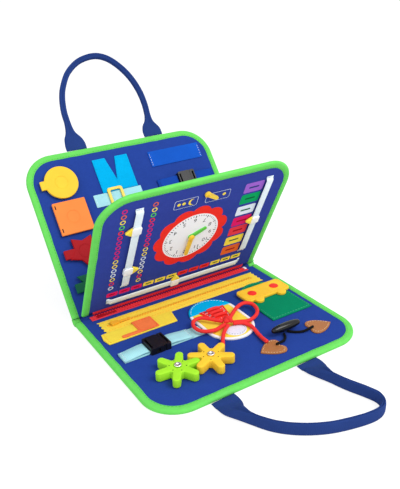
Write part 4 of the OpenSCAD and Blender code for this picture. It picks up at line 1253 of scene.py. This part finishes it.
class BOOK_OT_buckles(BookOperator, bpy.types.Operator):
    """Threads the webbing through the two side-release buckles"""

    bl_idname = "book.buckles"
    bl_label = "Strap buckles"

    def execute(self, context):
        for node in ("buckle_socket", "buckle_plug", "clasp_socket", "clasp_plug"):
            finish_node(node, look(plastic, "black"), 0.7)
        buckle, clasp = (BUCKLE_SPLIT, BUCKLE_D), (CLASP_SPLIT, CLASP_D)
        self.straps("buckle", front, *buckle, "front_cover", "cyan", "white", "cyan_webbing")
        # The clasp's loops take the band's webbing in a darker copy, as painted shade.
        self.straps("clasp", back, *clasp, "back_cover", "strap", "navy", "blue_band")
        return {"FINISHED"}

    def straps(self, name, place, split, d, body, key, thread_key, slot):
        """The two loops of a buckle, whose halves meet at the split; the right loop follows the plug."""
        material, thread, node = look(webbing, key), look(tape, thread_key), f"{name}_straps"
        seam = split - SOCKET_BAR - STRAP_LOOP
        left = Piece(f"{name}_left_strap", place).use(material)
        band(left, place, loop_path(split - SOCKET_BAR - BAR_GAP, seam, -1), d, STRAP_W, STRAP_T)
        left.use(thread).stitch([(seam + 3, d - 9), (seam + 3, d + 9)], 3.0)
        left.done(body, [node], slot)
        seam = split + PLUG_BAR + STRAP_LOOP
        right = Piece(f"{name}_right_strap", place).use(material)
        band(right, place, loop_path(split + PLUG_BAR + BAR_GAP, seam, 1), d, STRAP_W, STRAP_T)
        if place is front:
            tail = rectangle(seam - 2, d - STRAP_W / 2, TAIL_END, d + STRAP_W / 2)
            right.plate(tail, 0.05, STRAP_T, 0.4, 0.1, 5.0)
        right.use(thread).stitch([(seam - 3, d - 9), (seam - 3, d + 9)], 3.0)
        made = right.done(None, [node], slot)
        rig.blend(made, body, f"{name}_plug", start=place(seam, d, 2), end=place(split + 9, d, 2))


def jagged(length, width, bite, count):
    """Outline of a tape whose two ends are pinked."""
    half, step = length / 2, width / (2 * count)
    right = [(half - (i % 2) * bite, i * step - width / 2) for i in range(2 * count + 1)]
    left = [((i % 2) * bite - half, i * step - width / 2) for i in range(2 * count, -1, -1)]
    return right + left


# The zips: their teeth, half the lengths of chains and tapes, and the pouch zip's middle.
TOOTH_PITCH, TOOTH_HALF = 4.0, 0.9
PAGE_CHAIN, PAGE_TAPE = 122, 128
POUCH_CHAIN, POUCH_TAPE = 116, 126
POUCH_ZIP_D = 35


def teeth(piece, half, d, low, high, width, start=0.0):
    """Moulded zip teeth in a row from one end to the other."""
    x = start - half
    while x < half:
        tooth = rectangle(x - TOOTH_HALF, d - width / 2, x + TOOTH_HALF, d + width / 2)
        piece.plate(tooth, low, high, 0.35, steps=1)
        x += TOOTH_PITCH


class BOOK_OT_zips(BookOperator, bpy.types.Operator):
    """Sews in the red zip of the page and the yellow zip of the pouch"""

    bl_idname = "book.zips"
    bl_label = "Zips"

    def execute(self, context):
        self.page_zip()
        self.pouch_zip()
        return {"FINISHED"}

    def page_zip(self):
        """The red zip, whose upper half turns with the page."""
        red, bead, chain = look(tape, "crimson"), look(tape, "maroon"), look(plastic, "crimson")
        half, mid = PAGE_CHAIN, -PAGE_T / 2
        lower = Piece("page_zip_front_tape", front).use(red)
        lower.plate(rectangle(-PAGE_TAPE, 0.2, PAGE_TAPE, 11), 0, 0.8, 0.3, 0.15, 6.0)
        teeth(lower.use(chain), half, 1.6, 0.8, 1.75, 2.8)
        lower.use(bead).stitch([(2 - PAGE_TAPE, 8.6), (PAGE_TAPE - 2, 8.6)], 0.85)
        lower.plate(rectangle(-half, 0.25, half, 1.6), 0.7, 1.7, 0.3)
        lower.use(look(plastic, "white")).plate(rectangle(123.5, 1.2, 127.5, 7.5, 0.8), 0.7, 2.0, 0.5)
        lower.done("front_cover", ["page_zip_lower"], "red_zip_tape")
        upper = Piece("page_zip_page_tape", page).use(red)
        upper.plate(rectangle(-123, 2.2, 123, 13.9), mid - 0.4, mid + 0.4, 0.25, 0.1, 6.0)
        upper.use(bead).plate(rectangle(-half, 0.4, half, 2.4), mid - 0.25, mid + 0.25, 0.2)
        teeth(upper.use(chain), half, 1.7, mid - 0.4, mid + 0.4, 2.0, TOOTH_PITCH / 2)
        upper.done("page", ["page_zip_upper"], "red_zip_tape")
        finish_node("page_zip_slider", look(plastic, "maroon"), 0.35)

    def pouch_zip(self):
        """The yellow zip with its two rows of teeth."""
        thread, chain = look(tape, "amber"), look(plastic, "amber")
        yellow = Piece("pouch_zip_tape", front).use(look(tape, "yellow"))
        outline = shift(jagged(2 * POUCH_TAPE, 30, 2.5, 4), 0, POUCH_ZIP_D)
        yellow.plate(outline, 0, 0.8, 0.3, 0.2, 6.0)
        for d, start in ((POUCH_ZIP_D - 1, 0.0), (POUCH_ZIP_D + 1, TOOTH_PITCH / 2)):
            teeth(yellow.use(chain), POUCH_CHAIN, d, 0.7, 1.9, 2.4, start)
        for d in (POUCH_ZIP_D - 10.5, POUCH_ZIP_D + 10.5):
            yellow.use(thread).stitch([(-120, d), (120, d)], 0.85)
        yellow.done("front_cover", ["pouch_zip"], "yellow_zip_tape")
        finish_node("pouch_zip_slider", chain, 0.35)


class BOOK_OT_pouch(BookOperator, bpy.types.Operator):
    """Sews the yellow pouch and its orange patch below the zip"""

    bl_idname = "book.pouch"
    bl_label = "Pouch"

    def execute(self, context):
        outline = [(-133, 50.2), (-30, 50.2), (-35, 76), (-133, 76), (-135.5, 63)]
        piece = Piece("zip_pouch", front).use(look(felt, "yellow"))
        piece.plate(outline, -0.1, 2.0, 0.8, self.wave, 5.0)
        piece.use(look(tape, "amber")).stitch([(-131, 52), (-131, 74), (-37, 74), (-33, 52)], 1.95)
        piece.done("front_cover", ["pouch"], "yellow_felt")
        patch = Piece("pouch_orange_patch", front).use(look(felt, "tangerine"))
        patch.plate(rectangle(-89, 47, -61, 75, 1.5), 2.0, 3.5, 0.6, self.wave, 4.0)
        patch.plate(rectangle(-113, 69, -65, 75, 1.0), 2.0, 3.45, 0.6, self.wave, 4.0)
        patch.use(look(tape, "red")).stitch(rectangle(-87, 49, -63, 73, 1.0), 3.45, True)
        patch.done("front_cover", ["pouch_patch"], "orange_felt")
        return {"FINISHED"}


# The shoe: its middle along the fold, its half width, its round ends' middles, its toe and its cap.
SHOE_X, SHOE_R = 14.0, 33.0
HEEL_D, TOE_D = 87, 125
TOE_START, TOE_END = 80.2, 170
CAP_D, CAP_R = 138, 15
# The lace on the shoe: its rows, its eyelets, its knot and the turn over the knot.
LACE_ROWS, EYELET_XS = (85.3, 93.6, 102.0), (4.6, 26.0)
KNOT = [(6.5, 123, 8.6), (9, 124.4, 10), (12, 125, 10.6), (15, 125.6, 10), (17.5, 127, 8.6)]
KNOT_TURN = [
    (10, 119.8, 8.0), (10.6, 121.4, 12.4), (12, 125, 14.2),
    (13.4, 128.6, 12.4), (14, 130.2, 8.0),
]


def sole(margin, start, end):
    """Outline of the shoe drawn in by a margin and cut square at both distances from the fold."""
    r = SHOE_R - margin
    whole = circle(SHOE_X, TOE_D, r, 36, 0, 180) + circle(SHOE_X, HEEL_D, r, 36, 180, 360)
    clipped = []
    for a, b in zip(whole, whole[1:] + whole[:1]):
        if start <= a[1] <= end:
            clipped.append(a)
        for limit in (start, end):
            if (a[1] - limit) * (b[1] - limit) < 0:
                t = (limit - a[1]) / (b[1] - a[1])
                clipped.append((a[0] + (b[0] - a[0]) * t, limit))
    return clipped


class BOOK_OT_shoe(BookOperator, bpy.types.Operator):
    """Builds the felt shoe with its collar, toe cap, eyestay and lacing"""

    bl_idname = "book.shoe"
    bl_label = "Shoe"

    def execute(self, context):
        collar = Piece("shoe_blue_collar", front).use(look(felt, "sky"))
        collar.plate(sole(0, 50, 80), -0.1, 3.3, 1.4, self.wave, 4.0, crown=0.2)
        collar.use(look(tape, "white")).stitch(sole(3, 50, 77.5)[1:-1], 3.3)
        collar.done("front_cover", ["shoe_collar"], "sky_felt")
        upper = Piece("shoe_yellow_upper", front).use(look(felt, "yellow"))
        upper.plate(sole(4.1, TOE_START, TOE_END), -0.1, 2.5, 0.5, self.wave, 4.0)
        upper.done("front_cover", ["shoe_upper"], "yellow_felt")
        trim = Piece("shoe_white_trim", front).use(look(felt, "white"))
        outer, inner = sole(0, TOE_START, TOE_END), sole(4, TOE_START, TOE_END)
        trim.plate(self.ring(outer, inner), -0.1, 2.7, 0.7, 0.05, 0.0)
        trim.use(look(felt, "lilac"))
        trim.plate(circle(SHOE_X, CAP_D, CAP_R, 60, -30, 210), 2.4, 3.6, 0.6, 0.1, 4.0, crown=0.3)
        seam = circle(SHOE_X, CAP_D, CAP_R - 2, 40, -20, 200)
        trim.use(look(tape, "navy")).stitch(seam, 3.6, False, 2.0, 1.6, 0.45)
        trim.done("front_cover", ["shoe_trim"], "white_felt")
        eyestay = Piece("shoe_red_eyestay", front).use(look(felt, "red"))
        eyestay.plate([(-4, 80.3), (34, 80.3), (27.7, 110.3), (2.3, 110.3)], 2.4, 4.1, 0.6, 0.1, 4.0)
        # White stitches on the eyestay; their white also stands in as a painted highlight.
        eyestay.use(look(tape, "white")).stitch([(0, 82.5), (5, 108), (25, 108), (30, 82.5)], 4.05)
        eyestay.done("front_cover", ["shoe_eyestay"], "red_felt")
        self.lacing()
        return {"FINISHED"}

    def ring(self, outer, inner):
        """One outline down the left side of the toe's edge and up the right."""
        gap = max(range(len(outer)), key=lambda i: math.dist(outer[i], outer[i - 1]))
        hole = max(range(len(inner)), key=lambda i: math.dist(inner[i], inner[i - 1]))
        return outer[gap:] + outer[:gap] + list(reversed(inner[hole:] + inner[:hole]))

    def lacing(self):
        """The bars of the lace, its knot with one turn over it, and the eyelets."""
        piece = Piece("lacing", front).use(look(braid, "lace"))
        for d in LACE_ROWS:
            bar = [(6, d - 1, 5.2), (9, d - 0.4, 6.4), (15, d, 6.9), (21, d + 0.4, 6.4), (24.5, d + 1, 5.2)]
            piece.tube(smooth_route(bar, 5), 2.2)
        piece.tube(smooth_route(KNOT, 4), 4.2, 16, 0.9, 5)
        piece.tube(smooth_route(KNOT_TURN, 5), 2.3, 14, 1.0, 3)
        piece.use(look(metal, "silver"))
        for d in LACE_ROWS:
            for x in EYELET_XS:
                hole = circle(x, d, 1.1, 10)
                piece.plate(circle(x, d, 2.3, 16), 4.0, 4.6, 0.25, holes=[hole], step=2.0, steps=2)
        piece.done("front_cover", ["lace_knot"], "red_lace")


# The garage's round end and its mouth, and the places of the bus's wheels along the fold.
GARAGE_X, GARAGE_D, GARAGE_R = 101, 83.2, 33
GARAGE_MOUTH = 148
BUS_WHEELS = (83, 121)


def arch(margin):
    """Outline of the garage drawn in by a margin."""
    r, mouth = GARAGE_R - margin, GARAGE_MOUTH - margin
    return circle(GARAGE_X, GARAGE_D, r, 40, 180, 360) + [(GARAGE_X + r, mouth), (GARAGE_X - r, mouth)]


class BOOK_OT_garage(BookOperator, bpy.types.Operator):
    """Sews the green garage pocket and makes the bus that lies on it"""

    bl_idname = "book.garage"
    bl_label = "Garage and bus"

    def execute(self, context):
        pocket = Piece("garage_green_pocket", front).use(look(felt, "green"))
        pocket.plate(arch(0), -0.1, 2.0, 0.7, self.wave, 5.0)
        pocket.use(look(tape, "mint")).stitch(arch(2.6), 1.95, True, 3.0, 1.6, 0.7)
        pocket.done("front_cover", ["garage_pocket"], "green_felt")
        gold, red = look(foam, "gold"), look(foam, "red")
        bus = Piece("toy_bus", front).use(gold)
        bus.plate(rectangle(65, 65, 139, 97, 6), 2.35, 6.2, 0.9, 0.05, 5.0)
        for x in BUS_WHEELS:
            bus.use(gold).plate(circle(x, 98, 7, 28), 2.35, 6.3, 0.8, 0.0, 0.0)
        bus.use(look(tape, "amber")).stitch(rectangle(67.5, 67.5, 136.5, 94.5, 4.5), 6.15, True)
        bus.done("bus", ["bus_body"], "yellow_foam")
        windows = Piece("bus_oval_windows", front).use(red)
        for x in BUS_WHEELS:
            windows.plate(circle(x, 81, 6.5, 32), 5.9, 6.7, 0.3, 0.0, 0.0)
        windows.done("bus", ["bus_windows"], "red_foam")
        return {"FINISHED"}


def heart():
    """Outline of a leather patch that points along the fold."""
    side = []
    for i in range(12, 0, -1):
        t = i / 12
        a, b, c = (1 - t) ** 2, 2 * t * (1 - t), t * t
        side.append((a * -8.5 + b * 3.5 + c * 17, a * 15 + b * 14.6))
    half = side + circle(-8.2, 7, 8, 16, 95, 241)
    return half + [(u, -v) for u, v in reversed(half[1:-1])]


# The toggle's middle, half its length and its thickest radius.
TOGGLE_X, TOGGLE_D, TOGGLE_H = 64, 178, 9.3
TOGGLE_HALF, TOGGLE_R = 22, 5.5
TOGGLE_STEPS = 28


class BOOK_OT_toggle(BookOperator, bpy.types.Operator):
    """Turns the horn toggle and stitches its leather patches"""

    bl_idname = "book.toggle"
    bl_label = "Toggle"

    def execute(self, context):
        self.patches()
        toggle = Piece("horn_toggle", front).use(look(horn, "black"))
        angles = [2 * math.pi * k / TOGGLE_STEPS for k in range(TOGGLE_STEPS)]
        rings, spots = [], []
        for i in range(TOGGLE_STEPS + 1):
            a = math.pi * (0.02 + 0.96 * i / TOGGLE_STEPS)
            r, x = TOGGLE_R * math.sin(a) ** 0.6, TOGGLE_X - TOGGLE_HALF * math.cos(a)
            rings.append([front(x, TOGGLE_D + r * math.cos(t), TOGGLE_H + r * math.sin(t)) for t in angles])
            spots.append((x, 34.0))
        toggle.sweep(rings, spots)
        toggle.done("toggle", ["toggle"], "horn_black")
        return {"FINISHED"}

    def patches(self):
        """The two hearts, each with a row of stitches inside its edge."""
        patches = Piece("toggle_leather_patches", front)
        for x, d, side, turn in ((109, 191, 1, 8), (27, 197, -1, 0)):
            outline = turned(heart(), turn)
            edge = [(x + side * u, d + v) for u, v in outline]
            seam = [(x + side * u * 0.84, d + v * 0.84) for u, v in outline]
            patches.use(look(leather, "brown")).plate(edge, -0.1, 1.8, 0.6, 0.1, 4.0, crown=0.1)
            patches.use(look(tape, "tan")).stitch(seam, 1.85, True, 2.0, 1.4, 0.5)
        patches.done("front_cover", ["toggle_patches"], "leather")


# The gears: hub, petal tips and heights, and each gear's name, body, place, turn, colour and slot.
HUB_R, HALF_ROOT = 13, 5.03
PETAL_AT, PETAL_R = 23.25, 4.75
GEAR_LOW, GEAR_HIGH = 0.9, 11.9
GEARS = (
    ("lime_petal_gear", "green_gear", -92.0, 175.0, 4.0, "gear", "lime_foam"),
    ("gold_petal_gear", "yellow_gear", -48.606, 178.034, 34.0, "gold", "yellow_foam"),
)


def petals(turn):
    """Outline of a six-petal gear."""
    root = math.degrees(math.asin(HALF_ROOT / HUB_R))
    outline = []
    for i in range(6):
        petal = turned([(HUB_R, 0)], -root)
        petal += circle(PETAL_AT, 0, PETAL_R, 14, -88, 88)
        petal += turned([(HUB_R, 0)], root)
        petal += circle(0, 0, HUB_R, 4, root + 3, 60 - root - 3)
        outline += turned(petal, i * 60 + turn)
    return outline


class BOOK_OT_gears(BookOperator, bpy.types.Operator):
    """Cuts the two meshing petal gears from thick foam and sets their rivets"""

    bl_idname = "book.gears"
    bl_label = "Gears"

    def execute(self, context):
        rivets = Piece("gear_rivets", front).use(look(metal, "nickel"))
        for name, body, x, d, turn, key, slot in GEARS:
            piece = Piece(name, front).use(look(foam, key))
            bore = circle(x, d, 3.35, 24)
            outline = shift(petals(turn), x, d)
            piece.plate(outline, GEAR_LOW, GEAR_HIGH, 1.3, 0.15, 4.0, holes=[bore], step=2.0)
            # Six black dots round the hub: painted shade of small holes in the foam.
            piece.use(look(foam, "black"))
            for i in range(6):
                px, py = turned([(10.0, 0.0)], turn + 30 + 60 * i)[0]
                piece.plate(circle(x + px, d + py, 0.8, 10), 11.6, 12.0, 0.15, steps=1)
            piece.done(body, [body], slot)
            rivets.plate(circle(x, d, 8.0, 32), 0.0, 0.6, 0.2, step=2.0)
            rivets.plate(circle(x, d, 3.15, 24), 0.5, 13.2, 0.2, step=2.0)
            rivets.plate(circle(x, d, 4.4, 28), 12.25, 13.9, 0.7, holes=[circle(x, d, 1.5, 16)], step=2.0)
        rivets.done("front_cover", ["gear_posts"], "rivet_steel")
        return {"FINISHED"}


# The snap shapes' middle along the fold, their heights, their tabs' ends and the star's size.
SNAP_X, SNAP_LOW, SNAP_HIGH = -103, 2.5, 6.5
TAB_START, TAB_END = -133, -110
STAR_R = 24.96


class BOOK_OT_snap_shapes(BookOperator, bpy.types.Operator):
    """Cuts the four snap shapes of the back cover"""

    bl_idname = "book.snap_shapes"
    bl_label = "Snap shapes"

    def execute(self, context):
        star = [turned([(STAR_R if i % 2 == 0 else STAR_R * 0.6, 0)], 36 * i - 90)[0] for i in range(10)]
        triangle = [(-24, 15.84), (0, -19.2), (24, 15.84)]
        for shape, d, outline, key, slot in (
            ("circle", 191, circle(0, 0, 24, 56), "gold", "yellow_foam"),
            ("square", 139, rectangle(-24, -24, 24, 24, 1.5), "orange", "orange_foam"),
            # The star's red carries painted shade.
            ("star", 88, star, "ruby", "red_foam"),
            ("triangle", 40, triangle, "pine", "green_foam"),
        ):
            piece = Piece(f"{shape}_snap_shape", back).use(look(foam, key))
            piece.plate(shift(outline, SNAP_X, d), SNAP_LOW, SNAP_HIGH, 1.0, 0.12, 4.0)
            if shape != "square":
                tab = rectangle(TAB_START, d - 6.5, TAB_END, d + 6.5, 1.0)
                piece.plate(tab, 2.55, 6.2, 0.8, 0.05, 4.0)
            stud = circle(SNAP_X, d, 8.8, 36)
            piece.plate(circle(SNAP_X, d, 9.8, 40), 6.4, 6.72, 0.15, holes=[stud], step=2.0, steps=2)
            # Two black dashes by the square's left corners: painted shade of its slots.
            if shape == "square":
                piece.use(look(foam, "black"))
                for y in (d - 17.0, d + 17.0):
                    piece.plate(rectangle(-124.8, y - 3, -123.2, y + 3, 0.7), 6.3, 6.62, 0.1, steps=1)
            body = f"{shape}_flap"
            piece.done(body, [body], slot)
        finish_node("snap_studs", look(metal, "silver"))
        return {"FINISHED"}


# Flat webbing of the back cover: name, colour, sides, unevenness, seams, their ends, solid and slot.
STRIPS = (
    (
        "belt_webbing", "cyan", (-64, 143.8, 12, 162.8, 1.0), 0.15,
        (-61.5, 9.5), (146, 160.5), "belt", "cyan_webbing",
    ),
    (
        "blue_elastic_band", "band", (41.5, 186, 130.5, 211, 0.8), 0.2,
        (43.5, 128.5), (188, 209), "elastic_band", "blue_band",
    ),
)


class BOOK_OT_trousers(BookOperator, bpy.types.Operator):
    """Sews the trousers, their belt and the elastic band of the back cover"""

    bl_idname = "book.trousers"
    bl_label = "Trousers, belt and band"

    def execute(self, context):
        legs = [(-48, 163), (8, 163), (8, 215), (-12, 215), (-20, 179), (-28, 215), (-48, 215)]
        piece = Piece("felt_trousers", back).use(look(felt, "sky"))
        piece.plate(legs, -0.1, 2.0, 0.7, self.wave, 4.0)
        inner = [(-46, 165), (6, 165), (6, 213), (-10.5, 213), (-20, 173), (-29.5, 213), (-46, 213)]
        piece.use(look(tape, "sky")).stitch(inner, 1.95, True)
        piece.done("back_cover", ["trousers"], "sky_felt")
        for name, key, sides, wave, seams, (near, far), node, slot in STRIPS:
            strip = Piece(name, back).use(look(webbing, key))
            strip.plate(rectangle(*sides), 0.0, 1.2, 0.4, wave, 4.0)
            strip.use(look(tape, "white"))
            for x in seams:
                strip.stitch([(x, near), (x, far)], 1.2)
            strip.done("back_cover", [node], slot)
        finish_node("belt_buckle", look(plastic, "yellow"), 0.8)
        return {"FINISHED"}


# The clock: its middle, the radii of its dial, numbers and ticks, and its flower's radius and bulges.
CLOCK_X, CLOCK_D = 2.0, 118.0
DIAL_R, HOUR_R, TICK_R = 41.0, 30.0, 38.8
FLOWER_R, FLOWER_BULGE, FLOWER_STEPS = 48.0, 7.0, 144
# The blocks of the column: distance from the fold, colour, and colour of the line.
BLOCKS = (
    (184.5, "purple", "navy"),
    (164, "jade", "pine"),
    (142, "ribbon", "pine"),
    (121, "magenta", "maroon"),
    (101.5, "crimson", "maroon"),
    (81, "lemon", "pine"),
    (60.5, "rust", "maroon"),
)
# The counting rings from the fold outwards: place of the first, pitch and colours.
RING_D, RING_PITCH = 54, 9.0
SHARED_RINGS = (*["magenta"] * 4, "red", "leaf", "lemon", "rust")
LEFT_RINGS = (
    "ribbon", "red", "lemon", "ribbon", "ribbon", "lemon", "lemon", "magenta",
    *SHARED_RINGS, "magenta",
)
RIGHT_RINGS = (
    "lemon", "red", "lemon", "ribbon", "ribbon", "ribbon", "lemon", "lemon", "red",
    *SHARED_RINGS,
)
# The row beside the fold: its left end, length and colours.
ROW_X, ROW_LENGTH = -109, 216
ROW = (*["magenta"] * 3, *["lemon"] * 3, *["red"] * 3, *["lemon"] * 3)


class BOOK_OT_print(BookOperator, bpy.types.Operator):
    """Prints the clock, its numbers, the colour blocks and the counting rings on the page"""

    bl_idname = "book.print"
    bl_label = "Page print"

    def execute(self, context):
        piece = Piece("page_prints", page)
        self.clock(piece)
        self.blocks(piece)
        self.boxes(piece)
        piece.done("page", (), "page_print")
        self.numbers()
        return {"FINISHED"}

    def clock(self, piece):
        """The dial on its flower, with a tick for each minute."""
        flower = []
        for i in range(FLOWER_STEPS):
            a = 2 * math.pi * i / FLOWER_STEPS
            r = FLOWER_R + FLOWER_BULGE * abs(math.sin(5.5 * a)) ** 0.6
            flower.append((CLOCK_X + r * math.cos(a), CLOCK_D + r * math.sin(a)))
        self.fill(piece, flower, 0.09, "red")
        self.fill(piece, circle(CLOCK_X, CLOCK_D, DIAL_R, 72), 0.13, "white")
        for i in range(60):
            r0, w = (34.8, 0.7) if i % 5 == 0 else (36.6, 0.45)
            tick = turned(rectangle(r0, -w, TICK_R, w), 6 * i)
            self.fill(piece, shift(tick, CLOCK_X, CLOCK_D), 0.16, "black")

    def blocks(self, piece):
        """The column of blocks, the two of counting rings and the row beside the fold."""
        for d, key, line in BLOCKS:
            self.fill(piece, rectangle(67, d - 8.7, 97, d + 8.7, 2.5), 0.1, key)
            self.fill(piece, rectangle(74, d - 1.4, 90, d + 1.4, 1.0), 0.14, line)
        for x, colours in ((-104, LEFT_RINGS), (-64, RIGHT_RINGS)):
            for i, key in enumerate(colours):
                self.ring(piece, x, RING_D + RING_PITCH * i, key)
        for i, key in enumerate(ROW):
            x = ROW_X + ROW_LENGTH * (i + 0.5) / len(ROW)
            self.fill(piece, rectangle(x - 8.0, 34.6, x + 8.0, 43.2, 1.5), 0.1, key)
            line = "pine" if key == "lemon" else "maroon"
            self.fill(piece, rectangle(x - 4.5, 37.7, x + 4.5, 40.1, 1.0), 0.14, line)

    def boxes(self, piece):
        """The two framed boxes that the pointer shows, with a moon and dots in them."""
        for x0, x1, d in ((-37, -4, 186), (8, 44, 185)):
            self.fill(piece, rectangle(x0, d - 7.5, x1, d + 7.5, 2.5), 0.09, "ribbon")
            self.fill(piece, rectangle(x0 + 0.5, d - 7.0, x1 - 0.5, d + 7.0, 2.2), 0.12, "print")
        moon = circle(-12, 186, 5.2, 24, 60, 300) + list(reversed(circle(-9.7, 186, 4.5, 20, 85, 275)))
        self.fill(piece, moon, 0.15, "lemon")
        for x in (-30.5, -23.5, 35.0):
            self.fill(piece, circle(x, 186, 2.4, 24), 0.15, "lemon")

    def fill(self, piece, outline, h, key):
        """One printed shape; what is printed over another lies a little higher."""
        piece.use(look(ink, key)).face(piece.row(outline, h), outline)

    def ring(self, piece, x, d, key):
        """One counting ring."""
        outer, inner = circle(x, d, 3.7, 20), circle(x, d, 2.3, 20)
        piece.use(look(ink, key)).wall(piece.row(outer, 0.12), piece.row(inner, 0.12), outer, inner)

    def numbers(self):
        """Plain numbers round the dial; the page is bound in upside down, so they stand on their heads."""
        piece = Piece("dial_numbers", page).use(look(ink, "black"))
        for hour in range(1, 13):
            curve = bpy.data.curves.new("dial_number", "FONT")
            curve.body, curve.size = str(hour), 9.5
            curve.align_x, curve.align_y = "CENTER", "CENTER"
            written = bpy.data.objects.new("dial_number", curve)
            bpy.context.scene.collection.objects.link(written)
            bpy.context.view_layer.update()
            shape = written.to_mesh()
            a = math.radians(30 * hour)
            x, d = CLOCK_X - HOUR_R * math.sin(a), CLOCK_D - HOUR_R * math.cos(a)
            spots = [(x - v.co.x, d - v.co.y) for v in shape.vertices]
            made = piece.row(spots, 0.19)
            for polygon in shape.polygons:
                piece.face([made[i] for i in polygon.vertices], [spots[i] for i in polygon.vertices])
            written.to_mesh_clear()
            bpy.data.objects.remove(written)
            bpy.data.curves.remove(curve)
        piece.done("page", (), "page_print")


# The sliders' places and turns on the page, the ribbons and their seams, and a slider's pointed end.
SLIDERS = (
    ("left_upper_slider", -85, 162, 180),
    ("left_lower_slider", -85, 85, 0),
    ("right_slider", 103, 119, 180),
    ("low_slider", -4, 26, 90),
)
RIBBON_XS, RIBBON_D = (-85, 103), 26
RIBBON_W, RIBBON_T = 10.5, 0.6
UPRIGHT_START, UPRIGHT_END, LOW_HALF = 50, 198, 107
SEAM_INSET, SEAM_HALF = 1.2, 4.5
NOSE = [
    (6.0, -6.2), (7.0, -6.2), (11.5, -3.2), (14.8, -0.8),
    (14.8, 0.8), (11.5, 3.2), (7.0, 6.2), (6.0, 6.2),
]


def page_upright(d, x, h):
    """Point of the page's face for a ribbon that runs away from the fold."""
    return page(x, d, h)


class BOOK_OT_page_fittings(BookOperator, bpy.types.Operator):
    """Finishes the clock hands, rivets, ribbons and their sliders"""

    bl_idname = "book.page_fittings"
    bl_label = "Page fittings"

    def execute(self, context):
        for node, key, bevel in (
            ("minute_hand", "gold", 0.4),
            ("hour_hand", "leaf", 0.4),
            ("pointer", "yellow", 0.4),
            ("page_rivets", "gold", 0.2),
        ):
            finish_node(node, look(plastic, key), bevel)
        for slider in SLIDERS:
            self.slider(*slider)
        self.ribbons()
        return {"FINISHED"}

    def slider(self, node, x, d, turn):
        """A slider: a plate under its ribbon, one over it, rails between them and a pointed end."""
        marker = Piece(f"{node}_marker", page).use(look(foam, "white"))
        body = shift(turned(rectangle(-6.5, -6.5, 6.5, 6.5, 2.5), turn), x, d)
        marker.plate(body, 1.1, 2.35, 0.4, step=2.0)
        marker.plate(body, 3.25, 5.1, 0.9, step=2.0)
        for side in (rectangle(-6.4, -3.6, -5.5, 3.6), rectangle(5.5, -3.6, 6.4, 3.6)):
            rail = side if turn % 180 == 0 else [(py, px) for px, py in side]
            marker.plate(shift(rail, x, d), 2.0, 3.6, 0.1, steps=1)
        marker.use(look(foam, "lemon")).plate(shift(turned(NOSE, turn), x, d), 1.3, 4.8, 1.0, step=2.0)
        marker.done(node, [node], "yellow_plastic")

    def ribbons(self):
        """The two upright ribbons and the low one, each sewn down at both ends."""
        piece = Piece("slider_ribbons", page).use(look(tape, "ribbon"))
        for x in RIBBON_XS:
            band(piece, page_upright, self.loose(UPRIGHT_START, UPRIGHT_END), x, RIBBON_W, RIBBON_T)
        band(piece, page, self.loose(-LOW_HALF, LOW_HALF), RIBBON_D, RIBBON_W, RIBBON_T)
        piece.use(look(tape, "navy"))
        ends = (UPRIGHT_START + SEAM_INSET, UPRIGHT_END - SEAM_INSET)
        seams = [[(x - SEAM_HALF, d), (x + SEAM_HALF, d)] for x in RIBBON_XS for d in ends]
        for x in (SEAM_INSET - LOW_HALF, LOW_HALF - SEAM_INSET):
            seams.append([(x, RIBBON_D - SEAM_HALF), (x, RIBBON_D + SEAM_HALF)])
        for seam in seams:
            piece.stitch(seam, 0.8, False, 1.8, 0.9, 0.5)
        piece.done("page", ["ribbons"], "white_ribbon")

    def loose(self, start, end):
        """Edge view of a ribbon that is sewn down at both ends and stands off the page between them."""
        sewn, ramp, steps = 2.0, 4.0, 10
        low, lift = 0.5, 2.3
        rise = [(0.0, low)]
        for k in range(steps + 1):
            t = k / steps
            rise.append((sewn + ramp * t, low + lift * t * t * (3 - 2 * t)))
        return [(start + at, h) for at, h in rise] + [(end - at, h) for at, h in reversed(rise)]


OPERATORS = (
    BOOK_OT_stage, BOOK_OT_cords, BOOK_OT_covers, BOOK_OT_bindings, BOOK_OT_fold, BOOK_OT_handles,
    BOOK_OT_buckles, BOOK_OT_zips, BOOK_OT_pouch, BOOK_OT_shoe, BOOK_OT_garage, BOOK_OT_toggle,
    BOOK_OT_gears, BOOK_OT_snap_shapes, BOOK_OT_trousers, BOOK_OT_print, BOOK_OT_page_fittings,
)


class BOOK_PT_panel(bpy.types.Panel):
    """Lists the steps that dress the book"""

    bl_idname = "BOOK_PT_panel"
    bl_label = "Activity book"
    bl_space_type = "VIEW_3D"
    bl_region_type = "UI"
    bl_category = "Activity book"

    def draw(self, context):
        for operator in OPERATORS:
            self.layout.operator(operator.bl_idname)
        for group in (context.scene.book_sizes, context.scene.book_colours):
            for name in group.__annotations__:
                self.layout.prop(group, name)


CLASSES = (BookColours, BookSizes, *OPERATORS, BOOK_PT_panel)


def register():
    for made in CLASSES:
        bpy.utils.register_class(made)
    bpy.types.Scene.book_colours = bpy.props.PointerProperty(type=BookColours)
    bpy.types.Scene.book_sizes = bpy.props.PointerProperty(type=BookSizes)


def unregister():
    del bpy.types.Scene.book_sizes
    del bpy.types.Scene.book_colours
    for made in reversed(CLASSES):
        bpy.utils.unregister_class(made)


def main():
    register()
    for operator in OPERATORS:
        group, name = operator.bl_idname.split(".")
        getattr(getattr(bpy.ops, group), name)()
    boxes = {"cad": CAD_BOX, "visual": [list(corner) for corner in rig.bounds()]}
    with open("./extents.json", "w") as out:
        json.dump(boxes, out)


if __name__ == "__main__":
    main()
